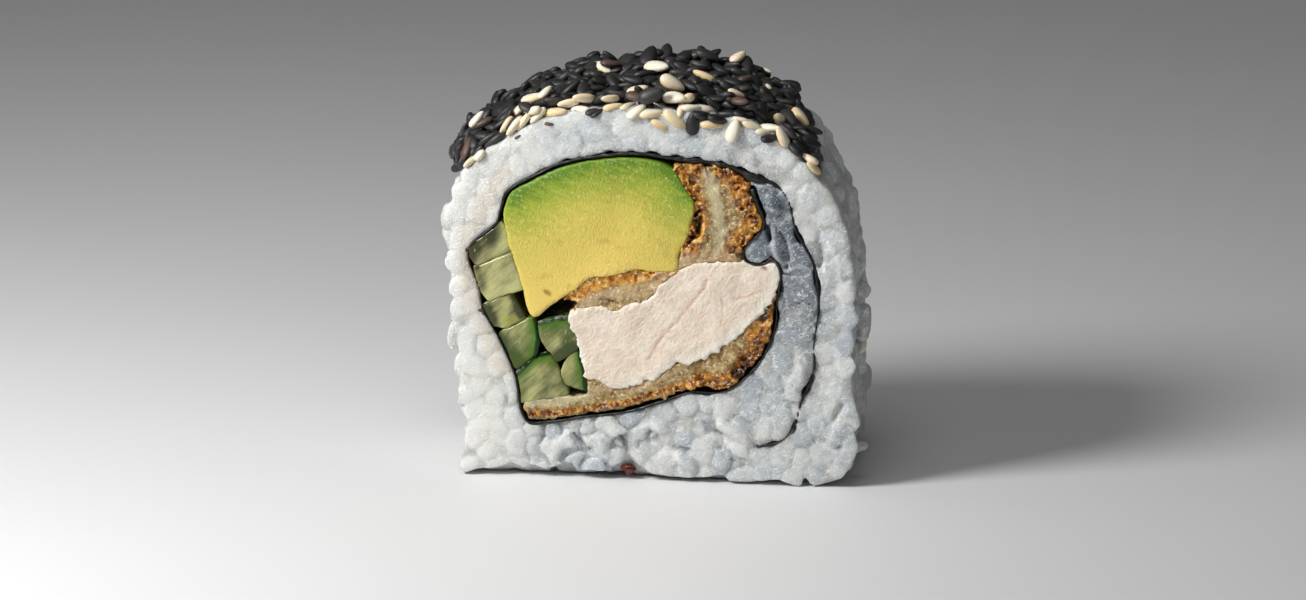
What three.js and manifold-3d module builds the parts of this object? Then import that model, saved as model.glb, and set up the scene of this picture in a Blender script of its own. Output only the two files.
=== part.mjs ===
// One slice of an inside-out sushi roll, standing on its flat side with a cut face to the front.
// Rice lies outside a spiral of nori that wraps avocado, breaded chicken and cucumber sticks,
// and sesame seeds cover the rounded top.
// Millimetres. X runs to the right, Y away from the front cut face, Z up, and Z 0 is the table.
import * as THREE from "three";
import { mergeVertices } from "three/addons/utils/BufferGeometryUtils.js";
import Module from "manifold-3d";

const wasm = await Module();
wasm.setup();

// Driving dimensions
const THICKNESS = 24; // from one cut face to the other
const HALF = THICKNESS / 2;
const NORI = 0.5; // thickness of the wet sheet
const NORI_SET = 0.3; // how far its edges lie behind the cut faces
const GAP = 0.2; // air between the nori and what it touches
const PIECE_GAP = 0.3; // air between two pieces of the filling
const GRAIN = 4.8; // mean width of a cooked grain as it shows at a cut
const WALL_GRAIN = 5.2; // and on the outer walls
const SHORTEST_EDGE = 1.1; // of a grain's outline
const GROOVE = 0.16; // between two grains
const GRAIN_TAPER = 0.2; // share by which a grain's top is smaller than its foot
const GRAIN_SUNK = 0.9; // how deep a grain's foot goes into the core
const CORE_INSET = 0.8; // how far the grains stand out of the core's walls
const FACE_INSET = 0.6; // how far the core lies behind each cut face
const SEED = { length: 3.2, width: 1.9, height: 1.1, sides: 5, narrowing: 0.35 };
const SEED_SPACING = 4.1;
const SEED_LIFT = 0.25; // of a seed's middle over the rice
const STACKED = 0.25; // share of the seeds that are pushed up by others
const STACKED_LIFT = 0.62; // and how far their middles lie over the rice
const RICE_DRAW = 13; // seed of the grains' and sesame seeds' random places
const CRUST_DRAW = 11; // seed of the crags in the crust
const CRAGS = 0.4; // depth of those crags
const CUT_PAST = 6; // how far a cutting prism runs past the faces
const WELD = 1e-3; // corners closer than this are one
const STEP = 0.9; // spacing of points along a smooth outline, before the needless ones are left out
const WALL_FLATTEST = 0.14; // how far a point may stand off a straight line and be left out
const NORI_FLATTEST = 0.07;
const PIECE_FLATTEST = 0.08;
const CRAG_STEP = 1.5; // spacing of the crags in the crust
// Shares of the outline's length, from its lower left corner, covered by grains and by seeds
const RIGHT_WALL = [0.27, 0.49];
const LEFT_WALL = [0.79, 1.0];
const SEED_BED = [0.475, 0.775];

// The slice isn't a true prism: from the front to the back face it shifts and narrows a little
const BACK_SHIFT = -0.6; // along X
const BACK_NARROWING = -0.0214; // of X
const BACK_RISE = 0.02; // of Z

// Outlines in the front face, as [x, z]
const ROLL = [
  [-27.0, 0.9], [-20.0, 0.0], [0.0, 0.0], [22.0, 0.0], [26.6, 1.6], [28.2, 6.0], [28.0, 16.0],
  [28.0, 26.0], [27.1, 34.0], [24.8, 40.5], [19.9, 47.0], [11.5, 50.9], [0.0, 52.3], [-8.0, 52.2],
  [-16.7, 50.0], [-23.8, 44.9], [-28.2, 39.2], [-28.8, 34.0], [-28.2, 25.0], [-27.4, 15.0],
  [-26.6, 6.0],
];
// The nori's centre line, from its inner end between crust and rice to its outer end in the rice
const NORI_PATH = [
  [13.4, 41.2], [14.5, 38.2], [15.1, 36.8], [14.6, 35.4], [12.5, 33.1], [12.4, 31.5], [13.6, 30.9],
  [15.2, 31.0], [16.1, 31.8], [17.0, 31.0], [17.4, 29.2], [16.8, 25.5], [16.8, 23.2], [16.2, 20.7],
  [14.9, 17.8], [12.2, 14.6], [10.6, 13.3], [8.5, 12.7], [5.2, 12.7], [1.4, 11.3], [-4.3, 9.5],
  [-10.0, 8.6], [-14.5, 7.8], [-16.9, 7.6], [-18.0, 8.9], [-18.9, 13.9], [-21.2, 19.4],
  [-23.3, 23.2], [-24.0, 26.6], [-25.4, 31.0], [-24.6, 32.7], [-21.4, 35.4], [-20.8, 37.4],
  [-19.9, 39.8], [-16.3, 42.1], [-12.4, 44.0], [-3.2, 45.6], [4.0, 45.0], [9.8, 44.4], [13.2, 43.0],
  [16.7, 41.8], [18.2, 40.1], [19.4, 35.6], [21.8, 31.1], [22.5, 25.1], [21.8, 19.3], [22.0, 16.8],
  [20.4, 12.4], [19.1, 8.2], [17.4, 6.3], [14.2, 5.3],
];
const WRAP_END = [12.6, 43.3]; // where the nori path comes round to its own start
const AVOCADO = [
  [-20.2, 37.2], [-19.2, 39.7], [-16.2, 41.4], [-12.4, 43.3], [-8.0, 44.4], [-3.2, 44.9],
  [1.0, 44.3], [3.1, 43.1], [4.1, 41.2], [5.5, 39.0], [5.2, 36.9], [4.7, 34.6], [3.3, 31.8],
  [3.2, 29.8], [0.4, 29.4], [-2.7, 29.7], [-5.2, 28.8], [-8.6, 28.2], [-10.8, 26.6], [-14.0, 24.3],
  [-16.2, 22.6], [-16.8, 23.0], [-18.0, 27.4], [-19.6, 32.8],
];
const CHICKEN = [
  [-11.5, 22.8], [-9.8, 23.8], [-7.1, 24.0], [-5.2, 23.5], [-3.0, 24.7], [-0.5, 25.4], [1.2, 27.6],
  [3.6, 29.5], [6.5, 30.7], [11.0, 31.0], [16.2, 31.0], [17.2, 29.8], [16.9, 27.6], [15.0, 24.6],
  [12.6, 22.0], [9.3, 19.1], [5.0, 16.7], [3.0, 16.6], [0.8, 14.8], [-1.6, 14.0], [-4.2, 13.0],
  [-7.4, 13.9], [-9.0, 14.2], [-9.6, 16.4], [-10.3, 19.2],
];
const CRUST_UPPER = [
  [2.8, 43.4], [3.4, 45.0], [6.4, 44.8], [9.6, 44.4], [11.6, 43.4], [12.9, 41.8], [13.5, 40.0],
  [14.2, 38.2], [14.9, 36.7], [14.4, 35.6], [13.0, 34.2], [12.1, 33.0], [12.0, 31.4], [6.5, 30.6],
  [3.0, 28.6], [3.3, 31.0], [4.2, 34.0], [5.0, 37.0], [5.2, 39.0], [3.9, 41.3],
];
const CRUST_MIDDLE = [
  [-10.8, 23.6], [-9.0, 23.4], [-5.2, 23.0], [-3.0, 24.2], [0.0, 25.0], [3.0, 28.4], [3.0, 30.2],
  [0.4, 30.0], [-5.0, 29.4], [-8.6, 28.8], [-10.0, 26.5], [-11.2, 26.2], [-12.1, 25.2],
  [-10.2, 24.8],
];
const CRUST_LOWER = [
  [-17.6, 10.3], [-12.2, 11.4], [-9.0, 11.9], [-8.8, 14.2], [-4.0, 15.0], [3.0, 18.0], [9.0, 21.0],
  [14.0, 25.5], [16.6, 27.0], [16.4, 24.0], [15.9, 21.2], [14.7, 18.2], [12.9, 16.4], [11.8, 14.6],
  [10.2, 13.6], [8.4, 13.2], [6.4, 13.8], [5.0, 13.2], [1.2, 11.9], [-4.3, 10.1], [-10.0, 9.1],
  [-14.4, 8.3], [-16.8, 8.1], [-17.6, 8.9],
];
// Each stick has its corners and how far its ends lie behind the cut faces
const CUCUMBERS = {
  cucumber_upper: { set: 0.2, corners: [[-25.4, 31.6], [-20.9, 35.2], [-18.9, 31.8], [-23.9, 29.5]] },
  cucumber_tall: { set: 0.1, corners: [[-24.2, 29.2], [-19.0, 31.5], [-17.7, 26.7], [-22.4, 24.7], [-24.0, 26.8]] },
  cucumber_middle: { set: 0.5, corners: [[-23.4, 23.6], [-19.7, 25.5], [-17.8, 22.1], [-19.9, 20.9], [-22.4, 21.4]] },
  cucumber_left: { set: 0.3, corners: [[-21.4, 19.4], [-20.0, 20.5], [-17.8, 21.8], [-16.2, 22.0], [-15.8, 19.6], [-16.3, 17.1], [-18.8, 15.4]] },
  cucumber_right: { set: 0.2, corners: [[-15.6, 21.6], [-11.7, 22.5], [-10.5, 19.3], [-10.9, 18.0], [-13.4, 16.5], [-15.4, 20.0]] },
  cucumber_lower: { set: 0.4, corners: [[-18.7, 14.4], [-16.5, 16.7], [-14.2, 17.4], [-12.8, 14.1], [-12.0, 12.0], [-15.4, 11.2], [-18.2, 10.8]] },
  cucumber_corner: { set: 0.6, corners: [[-10.8, 17.6], [-9.9, 17.0], [-9.2, 12.6], [-12.0, 13.4], [-12.5, 14.4], [-11.9, 16.0]] },
};
// Hollow between the avocado and the crust at each face, as [x, z, width, height, depth]
const POCKET = [5.6, 36.2, 3.4, 6.4, 9];
// Away from the faces the sticks press together, and each is wider by this
const SWELL = 0.9;
const SWELL_SET = 2.5; // how far behind the faces that starts
// Air under the front and back edges of the base, as [x, y, width, height]
const BASE_NOTCHES = [
  [-15, -HALF, 9, 3.0], [-4.7, -HALF, 5, 3.8], [3, -HALF, 6, 1.8], [13, -HALF, 5, 1.4],
  [-10, HALF, 8, 2.6], [6, HALF, 7, 3.2], [17, HALF, 6, 1.8],
];

// Seeded random numbers from 0 to 1, so that the slice is the same each time
function randomFrom(seed) {
  let state = seed;
  return () => {
    state = (state + 0x6d2b79f5) | 0;
    let t = Math.imul(state ^ (state >>> 15), 1 | state);
    t = (t + Math.imul(t ^ (t >>> 7), 61 | t)) ^ t;
    return ((t ^ (t >>> 14)) >>> 0) / 4294967296;
  };
}

const planar = (points) => points.map(([x, z]) => new THREE.Vector2(x, z));

// Points along a smooth curve through the given ones, about step apart
function smooth(points, closed, step = STEP) {
  const curve = new THREE.CatmullRomCurve3(
    points.map(([x, z]) => new THREE.Vector3(x, z, 0)), closed, "centripetal",
  );
  const count = Math.round(curve.getLength() / step);
  const made = curve.getSpacedPoints(count).map((p) => new THREE.Vector2(p.x, p.y));
  return closed ? made.slice(0, -1) : made;
}

// A path without the points that hardly stand off the line between their neighbours
function thinned(path, flattest) {
  const made = [path[0]];
  let start = 0;
  for (let end = 2; end < path.length; end++) {
    const a = path[start], b = path[end];
    const normal = new THREE.Vector2(b.y - a.y, a.x - b.x).normalize();
    const off = Math.max(...path.slice(start + 1, end).map((p) => Math.abs(p.clone().sub(a).dot(normal))));
    if (off > flattest) {
      start = end - 1;
      made.push(path[start]);
    }
  }
  return [...made, path[path.length - 1]];
}

// The unit normal at each point of a path, to the right of its direction
function normals(path, closed) {
  const last = path.length - 1;
  return path.map((_, i) => {
    const before = closed ? path[(i + last) % path.length] : path[Math.max(i - 1, 0)];
    const after = closed ? path[(i + 1) % path.length] : path[Math.min(i + 1, last)];
    const along = after.clone().sub(before).normalize();
    return new THREE.Vector2(along.y, -along.x);
  });
}

// A closed outline pushed outwards by a distance, or inwards where it is negative
function grown(loop, distance) {
  const outward = THREE.ShapeUtils.isClockWise(loop) ? -1 : 1;
  const normal = normals(loop, true);
  return loop.map((p, i) => p.clone().addScaledVector(normal[i], outward * distance));
}

// A closed outline round a path, as wide as a sheet's thickness
function ribbon(path, width) {
  const normal = normals(path, false);
  const side = (sign) => path.map((p, i) => p.clone().addScaledVector(normal[i], (sign * width) / 2));
  return [...side(1), ...side(-1).reverse()];
}

// An outline with crags: each point moves in or out by up to a depth
function craggy(loop, depth, random) {
  const normal = normals(loop, true);
  return loop.map((p, i) => p.clone().addScaledVector(normal[i], (random() - 0.5) * 2 * depth));
}

function solidOf(geometry, weld = WELD / 10) {
  const bare = geometry.clone();
  bare.deleteAttribute("normal");
  bare.deleteAttribute("uv");
  const merged = mergeVertices(bare, weld);
  return new wasm.Manifold(new wasm.Mesh({
    numProp: 3,
    vertProperties: new Float32Array(merged.getAttribute("position").array),
    triVerts: new Uint32Array(merged.index.array),
  }));
}

function geometryOf(solid) {
  const mesh = solid.getMesh();
  return new THREE.BufferGeometry()
    .setAttribute("position", new THREE.BufferAttribute(mesh.vertProperties, 3))
    .setIndex(new THREE.BufferAttribute(mesh.triVerts, 1));
}

// An outline extruded from one depth to another, standing in the X Z plane
function prism(loop, front, back) {
  const geometry = new THREE.ExtrudeGeometry(new THREE.Shape(loop), {
    depth: back - front, bevelEnabled: false,
  });
  return solidOf(geometry.rotateX(Math.PI / 2).translate(0, back, 0));
}

// A teardrop seed with few sides, its long axis along Y
function seedShape({ length, width, height, sides, narrowing }) {
  const geometry = new THREE.SphereGeometry(0.5, sides, 3);
  const place = geometry.getAttribute("position");
  for (let i = 0; i < place.count; i++) {
    const share = 1 - narrowing * (place.getY(i) + 0.5);
    place.setXYZ(i, place.getX(i) * width * share, place.getY(i) * length, place.getZ(i) * height * share);
  }
  return geometry;
}

// Moves a geometry so that its Y lies along one direction and its Z points out along another
function placed(geometry, position, along, out) {
  const y = along.clone().normalize();
  const x = new THREE.Vector3().crossVectors(y, out).normalize();
  const z = new THREE.Vector3().crossVectors(x, y);
  return geometry.applyMatrix4(new THREE.Matrix4().makeBasis(x, y, z).setPosition(position));
}

// The largest body of a solid, without loose scraps and with sealed hollows filled.
// Corners closer than a weld's width are joined first.
function largestBody(solid) {
  const bodies = solidOf(geometryOf(solid), WELD).decompose().filter((body) => body.volume() > 0);
  return bodies.sort((a, b) => b.volume() - a.volume())[0];
}

const inside = (p, loop) => {
  let odd = false;
  loop.forEach((a, i) => {
    const b = loop[(i + 1) % loop.length];
    if (a.y > p.y !== b.y > p.y && p.x < a.x + ((b.x - a.x) * (p.y - a.y)) / (b.y - a.y)) odd = !odd;
  });
  return odd;
};

const rollLoop = thinned(smooth(ROLL, true), WALL_FLATTEST);
const rollNormal = normals(rollLoop, true);
const rollStarts = [0];
rollLoop.forEach((p, i) => rollStarts.push(rollStarts[i] + p.distanceTo(rollLoop[(i + 1) % rollLoop.length])));
const rollLength = rollStarts[rollLoop.length];
const noriPath = thinned(smooth(NORI_PATH, false), NORI_FLATTEST);
const nearest = (path, [x, z]) =>
  path.reduce((best, p, i) => (Math.hypot(p.x - x, p.y - z) < Math.hypot(path[best].x - x, path[best].y - z) ? i : best), 0);
const outerStart = Math.floor(noriPath.length / 2);
const wrapLoop = noriPath.slice(0, nearest(noriPath.slice(outerStart), WRAP_END) + outerStart + 1);

// The slot that the nori lies in, and the space inside its wrap
const slot = prism(ribbon(noriPath, NORI + 2 * GAP), -HALF - CUT_PAST, HALF + CUT_PAST);
const wrapSpace = prism(wrapLoop, -HALF - CUT_PAST, HALF + CUT_PAST);
const fillingSpace = wrapSpace.subtract(slot);

// The core draws in from the outline where grains stand on it, but not under the seeds
function riceCore() {
  const loop = rollLoop.map((p, i) => {
    const inset = CORE_INSET * (1 - THREE.MathUtils.smoothstep(p.y, 40, 46));
    return p.clone().addScaledVector(rollNormal[i], -inset);
  });
  loop.forEach((p) => (p.y = p.y < CORE_INSET + 0.3 ? 0 : p.y));
  return prism(loop, -HALF + FACE_INSET, HALF - FACE_INSET);
}

// What is left of a convex outline on the near side of a line
function clipped(loop, point, away) {
  const made = [];
  loop.forEach((a, i) => {
    const b = loop[(i + 1) % loop.length];
    const overA = a.clone().sub(point).dot(away);
    const overB = b.clone().sub(point).dot(away);
    if (overA <= 0) made.push(a);
    if (overA * overB < 0) made.push(a.clone().lerp(b, overA / (overA - overB)));
  });
  return made;
}

// The convex cell round a site, with half a groove left between it and each neighbour's
function cellOf(site, others) {
  const corners = planar([[-1, -1], [1, -1], [1, 1], [-1, 1]]);
  let loop = corners.map((p) => p.multiplyScalar(WALL_GRAIN).add(site));
  for (const other of others) {
    const away = other.clone().sub(site);
    const distance = away.length();
    if (distance < WELD || distance > 3 * WALL_GRAIN) continue;
    away.divideScalar(distance);
    loop = clipped(loop, site.clone().addScaledVector(away, (distance - GROOVE) / 2), away);
  }
  return loop.filter((p, i) => p.distanceTo(loop[(i + 1) % loop.length]) > SHORTEST_EDGE);
}

// A grain on a surface: its cell's outline sunk in the core, and a smaller outline on top
function grainOn(surface, loop, top) {
  const middle = loop.reduce((sum, p) => sum.add(p), new THREE.Vector2()).divideScalar(loop.length);
  const shrunk = loop.map((p) => p.clone().lerp(middle, GRAIN_TAPER));
  const corners = [
    ...loop.map((p) => surface(p.x, p.y, -GRAIN_SUNK)),
    ...shrunk.map((p) => surface(p.x, p.y, top)),
  ];
  const n = loop.length;
  const triangles = [];
  for (let i = 0; i < n; i++) {
    const j = (i + 1) % n;
    triangles.push(i, j, n + j, i, n + j, n + i);
    if (i > 0 && i < n - 1) triangles.push(0, i + 1, i, n, n + i, n + i + 1);
  }
  const built = (order) => new wasm.Manifold(new wasm.Mesh({
    numProp: 3,
    vertProperties: new Float32Array(corners.flatMap((c) => c.toArray())),
    triVerts: new Uint32Array(order),
  }));
  const made = built(triangles);
  return made.volume() > 0 ? made : built(triangles.reverse());
}

// Jittered places over a rectangle, in staggered rows
function scattered([left, right], [low, high], spacing, random) {
  const made = [];
  for (let row = 0, v = low; v <= high; v += spacing * 0.87, row++)
    for (let u = left + (row % 2) * spacing * 0.5; u <= right; u += spacing)
      made.push(new THREE.Vector2(u, v).add(
        new THREE.Vector2(random() - 0.5, random() - 0.5).multiplyScalar(spacing * 0.55),
      ));
  return made;
}

// Grains on a cut face, most of them cut off flush with it
function faceGrains(side, random) {
  const rim = grown(rollLoop, -1.1);
  const hole = grown(wrapLoop, -2);
  const kept = (p) => inside(p, rim) && !inside(p, hole) && p.y > 0.9;
  const sites = scattered([-33, 33], [-3, 56], GRAIN, random);
  const surface = (u, v, height) => new THREE.Vector3(u, side * (HALF - FACE_INSET + height), v);
  return sites.filter(kept).map((site) =>
    grainOn(surface, cellOf(site, sites), random() < 0.7 ? FACE_INSET : 0.2 + 0.3 * random()));
}

// The place at a length along the roll's outline, and the outward normal there
function wallAt(length) {
  const along = THREE.MathUtils.euclideanModulo(length, rollLength);
  const index = rollStarts.findIndex((start) => start > along) - 1;
  const next = (index + 1) % rollLoop.length;
  const share = (along - rollStarts[index]) / (rollStarts[index + 1] - rollStarts[index]);
  const point = rollLoop[index].clone().lerp(rollLoop[next], share);
  const normal = rollNormal[index].clone().lerp(rollNormal[next], share).normalize();
  return { point: new THREE.Vector3(point.x, 0, point.y), out: new THREE.Vector3(normal.x, 0, normal.y) };
}

// Whole grains on the outer wall, between two shares of its length
function wallGrains([from, to], random) {
  const reach = WALL_GRAIN * 1.5;
  const sites = scattered(
    [from * rollLength - reach, to * rollLength + reach], [-HALF - reach, HALF + reach], WALL_GRAIN, random,
  );
  const kept = (p) =>
    p.x > from * rollLength && p.x < to * rollLength && Math.abs(p.y) < HALF - 0.8;
  return sites.filter(kept).map((site) => {
    const { point, out } = wallAt(site.x);
    const surface = (u, v, height) => point.clone().setY(v)
      .addScaledVector(out, height - CORE_INSET)
      .add(new THREE.Vector3(-out.z, 0, out.x).multiplyScalar(u - site.x));
    return grainOn(surface, cellOf(site, sites), 0.3 + 0.7 * random());
  });
}

// Sesame seeds over the top, lying at all angles, some of them on others
function seeds(random) {
  const range = SEED_BED.map((share) => share * rollLength);
  return scattered(range, [-HALF + 1.2, HALF - 1.0], SEED_SPACING, random).map((p) => {
    const { point, out } = wallAt(p.x);
    const turn = random() * Math.PI * 2;
    const stacked = random() < STACKED;
    const tilt = stacked ? (random() < 0.5 ? -1 : 1) * (0.5 + 0.3 * random()) : (random() - 0.5) * 0.4;
    const along = new THREE.Vector3(-out.z, 0, out.x).multiplyScalar(Math.cos(turn));
    along.y = Math.sin(turn);
    along.addScaledVector(out, tilt);
    point.setY(p.y).addScaledVector(out, stacked ? STACKED_LIFT : SEED_LIFT);
    return solidOf(placed(seedShape(SEED), point, along, out));
  });
}

function rice() {
  const random = randomFrom(RICE_DRAW);
  const grains = [
    ...faceGrains(-1, random),
    ...faceGrains(1, random),
    ...wallGrains(RIGHT_WALL, random),
    ...wallGrains(LEFT_WALL, random),
  ];
  let made = grains.reduce((whole, grain) => whole.add(grain), riceCore());
  made = made.intersect(prism(planar([[-60, 0], [60, 0], [60, 80], [-60, 80]]), -HALF, HALF));
  made = seeds(random).reduce((whole, seed) => whole.add(seed), made);
  for (const [x, y, width, height] of BASE_NOTCHES) {
    const notch = new THREE.SphereGeometry(0.5, 7, 5).scale(width, 5, height).translate(x, y, 0);
    made = made.subtract(solidOf(notch));
  }
  return largestBody(made.subtract(wrapSpace).subtract(slot));
}

// A piece of the filling, set back from the cut faces and wider between them by a swell
function piece(loop, set, swell = 0) {
  const made = prism(loop, -HALF + set, HALF - set);
  if (!swell) return made;
  return made.add(prism(grown(loop, swell), -HALF + SWELL_SET, HALF - SWELL_SET));
}

// The space that others leave clear round such a piece
function roomFor(loop, swell = 0) {
  const made = prism(grown(loop, PIECE_GAP), -HALF - CUT_PAST, HALF + CUT_PAST);
  if (!swell) return made;
  const set = SWELL_SET - PIECE_GAP;
  return made.add(prism(grown(loop, swell + PIECE_GAP), -HALF + set, HALF - set));
}

// The pieces of the filling, each cut clear of those before it
function fillings() {
  const random = randomFrom(CRUST_DRAW);
  const taken = [];
  const made = {};
  const add = (name, loop, set, swell) => {
    made[name] = taken.reduce((left, room) => left.subtract(room), piece(loop, set, swell))
      .intersect(fillingSpace);
    taken.push(roomFor(loop, swell));
  };
  const crust = (points) => craggy(smooth(points, true, CRAG_STEP), CRAGS, random);
  add("avocado", thinned(smooth(AVOCADO, true), PIECE_FLATTEST), 0);
  add("chicken", thinned(smooth(CHICKEN, true), PIECE_FLATTEST), 0.1);
  for (const [name, stick] of Object.entries(CUCUMBERS))
    add(name, planar(stick.corners), stick.set, SWELL);
  add("crust_middle", crust(CRUST_MIDDLE), 0.5, SWELL);
  add("crust_upper", crust(CRUST_UPPER), 0.3);
  add("crust_lower", crust(CRUST_LOWER), 0.4);
  const [x, z, width, height, depth] = POCKET;
  for (const face of [-HALF, HALF]) {
    const pocket = new THREE.SphereGeometry(0.5, 8, 6).scale(width, depth, height).translate(x, face, z);
    made.crust_upper = made.crust_upper.subtract(solidOf(pocket));
  }
  return made;
}

const finishes = {
  rice: { color: 0xe9e9e4, roughness: 0.45 },
  nori: { color: 0x12160f, roughness: 0.5 },
  avocado: { color: 0xc9c455, roughness: 0.5 },
  chicken: { color: 0xf0dccb, roughness: 0.6 },
  crust: { color: 0xb4813f, roughness: 0.6 },
  cucumber: { color: 0x9aa878, roughness: 0.3 },
};

// Shifts and narrows the slice towards its back face
function leaned(geometry) {
  const place = geometry.getAttribute("position");
  for (let i = 0; i < place.count; i++) {
    const x = place.getX(i), z = place.getZ(i);
    const share = (place.getY(i) + HALF) / THICKNESS;
    place.setX(i, x + share * (BACK_SHIFT + BACK_NARROWING * x));
    place.setZ(i, z + share * BACK_RISE * z);
  }
  return geometry;
}

const nori = prism(ribbon(noriPath, NORI), -HALF + NORI_SET, HALF - NORI_SET);
const group = new THREE.Group();
for (const [name, solid] of Object.entries({ rice: rice(), nori, ...fillings() })) {
  const finish = finishes[name.split("_")[0]];
  const material = new THREE.MeshStandardMaterial({ ...finish, metalness: 0 });
  const mesh = new THREE.Mesh(leaned(geometryOf(largestBody(solid))), material);
  mesh.name = name;
  group.add(mesh);
}

export default group;
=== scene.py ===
"""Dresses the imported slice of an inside-out sushi roll for a studio picture.

Rice grains, sesame seeds, nori, avocado, breaded chicken and cucumber are each built over the CAD
node they stand for. Sizes are in millimetres until a mesh is made, which is in metres in the frame
of the CAD model: X to the right, Y away from the front cut face, Z up.
"""

from __future__ import annotations

import logging
import math
from dataclasses import dataclass, field
from enum import Enum
from typing import Callable, Sequence

import bmesh
import bpy
import numpy as np
from mathutils import Matrix, Vector

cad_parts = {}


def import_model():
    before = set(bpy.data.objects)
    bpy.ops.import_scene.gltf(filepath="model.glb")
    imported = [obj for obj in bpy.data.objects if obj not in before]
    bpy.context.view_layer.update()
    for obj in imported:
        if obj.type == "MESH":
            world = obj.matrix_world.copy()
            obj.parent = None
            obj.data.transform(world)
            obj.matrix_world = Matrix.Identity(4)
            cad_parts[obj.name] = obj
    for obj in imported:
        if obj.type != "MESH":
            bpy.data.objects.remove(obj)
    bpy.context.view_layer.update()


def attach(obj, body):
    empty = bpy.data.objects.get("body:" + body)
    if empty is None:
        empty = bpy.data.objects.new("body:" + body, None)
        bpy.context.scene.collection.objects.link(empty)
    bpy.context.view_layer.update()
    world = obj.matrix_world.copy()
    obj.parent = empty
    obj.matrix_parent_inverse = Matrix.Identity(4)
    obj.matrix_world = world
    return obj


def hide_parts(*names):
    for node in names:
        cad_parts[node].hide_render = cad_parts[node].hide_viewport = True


LOG = logging.getLogger("sushi_slice")
Array = np.ndarray
Points = Sequence[Sequence[float]]
Piece = bpy.types.Object
Material = bpy.types.Material
Random = np.random.Generator
MM = 0.001

# Outlines in the front face as (x, z), the same as in the CAD source
ROLL: Points = (
    (-27, 0.9), (-20, 0), (0, 0), (22, 0), (26.6, 1.6), (28.2, 6), (28, 16), (28, 26), (27.1, 34),
    (24.8, 40.5), (19.9, 47), (11.5, 50.9), (0, 52.3), (-8, 52.2), (-16.7, 50), (-23.8, 44.9),
    (-28.2, 39.2), (-28.8, 34), (-28.2, 25), (-27.4, 15), (-26.6, 6),
)
NORI_PATH: Points = (
    (13.4, 41.2), (14.5, 38.2), (15.1, 36.8), (14.6, 35.4), (12.5, 33.1), (12.4, 31.5), (13.6, 30.9),
    (15.2, 31), (16.1, 31.8), (17, 31), (17.4, 29.2), (16.8, 25.5), (16.8, 23.2), (16.2, 20.7),
    (14.9, 17.8), (12.2, 14.6), (10.6, 13.3), (8.5, 12.7), (5.2, 12.7), (1.4, 11.3), (-4.3, 9.5),
    (-10, 8.6), (-14.5, 7.8), (-16.9, 7.6), (-18, 8.9), (-18.9, 13.9), (-21.2, 19.4), (-23.3, 23.2),
    (-24, 26.6), (-25.4, 31), (-24.6, 32.7), (-21.4, 35.4), (-20.8, 37.4), (-19.9, 39.8), (-16.3, 42.1),
    (-12.4, 44), (-3.2, 45.6), (4, 45), (9.8, 44.4), (13.2, 43), (16.7, 41.8), (18.2, 40.1), (19.4, 35.6),
    (21.8, 31.1), (22.5, 25.1), (21.8, 19.3), (22, 16.8), (20.4, 12.4), (19.1, 8.2), (17.4, 6.3),
    (14.2, 5.3),
)
WRAP_END = (12.6, 43.3)
# Thickness of the nori along its path as (share of the path's length, millimetres)
NORI_THICKNESS: Points = (
    (0, 0.5), (0.018, 0.45), (0.026, 0.34), (0.034, 0.2), (0.052, 0.18), (0.068, 0.22), (0.084, 0.3),
    (0.095, 0.26), (0.103, 0.15), (0.111, 0.36), (0.118, 0.1), (0.148, 0.14), (0.166, 0.24), (0.189, 0.2),
    (0.21, 0.14), (0.231, 0.18), (0.27, 0.4), (0.29, 0.22), (0.32, 0.3), (0.355, 0.36), (0.38, 0.3),
    (0.41, 0.14), (0.43, 0.12), (0.45, 0.08), (0.498, 0.1), (0.515, 0.2), (0.543, 0.24), (0.557, 0.34),
    (0.581, 0.22), (0.62, 0.34), (0.66, 0.4), (0.69, 0.32), (0.696, 0.8), (0.7, 0.34), (0.705, 0.85),
    (0.712, 0.36), (0.722, 0.36), (0.726, 1.1), (0.731, 0.32), (0.742, 0.4), (0.748, 1.2), (0.757, 1.2),
    (0.763, 0.4), (0.783, 0.22), (0.809, 0.22), (0.837, 0.28), (0.87, 0.26), (0.885, 0.14), (0.903, 0.18),
    (0.943, 0.26), (0.967, 0.16), (1, 0.22),
)
AVOCADO: Points = (
    (-20.2, 37.2), (-19.2, 39.7), (-16.2, 41.4), (-12.4, 43.3), (-8, 44.4), (-3.2, 44.9), (1, 44.3),
    (3.1, 43.1), (4.1, 41.2), (5.5, 39), (5.2, 36.9), (4.7, 34.6), (3.3, 31.8), (3.2, 29.8), (0.4, 29.4),
    (-2.7, 29.7), (-5.2, 28.8), (-8.6, 28.2), (-10.8, 26.6), (-14, 24.3), (-16.2, 22.6), (-16.8, 23),
    (-18, 27.4), (-19.6, 32.8),
)
CHICKEN: Points = (
    (-11.5, 22.8), (-9.8, 23.8), (-7.1, 24), (-5.2, 23.5), (-3, 24.7), (-0.5, 25.4), (1.2, 27.6),
    (3.6, 29.5), (6.5, 30.7), (11, 31), (16.2, 31), (17.2, 29.8), (16.9, 27.6), (15, 24.6), (12.6, 22),
    (9.3, 19.1), (5, 16.7), (3, 16.6), (0.8, 14.8), (-1.6, 14), (-4.2, 13), (-7.4, 13.9), (-9, 14.2),
    (-9.6, 16.4), (-10.3, 19.2),
)
CRUST_UPPER: Points = (
    (2.8, 43.4), (3.4, 45), (6.4, 44.8), (9.6, 44.4), (11.6, 43.4), (12.9, 41.8), (13.5, 40), (14.2, 38.2),
    (14.9, 36.7), (14.4, 35.6), (13, 34.2), (12.1, 33), (12, 31.4), (6.5, 30.6), (3, 28.6), (3.3, 31),
    (4.2, 34), (5, 37), (5.2, 39), (3.9, 41.3),
)
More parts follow.
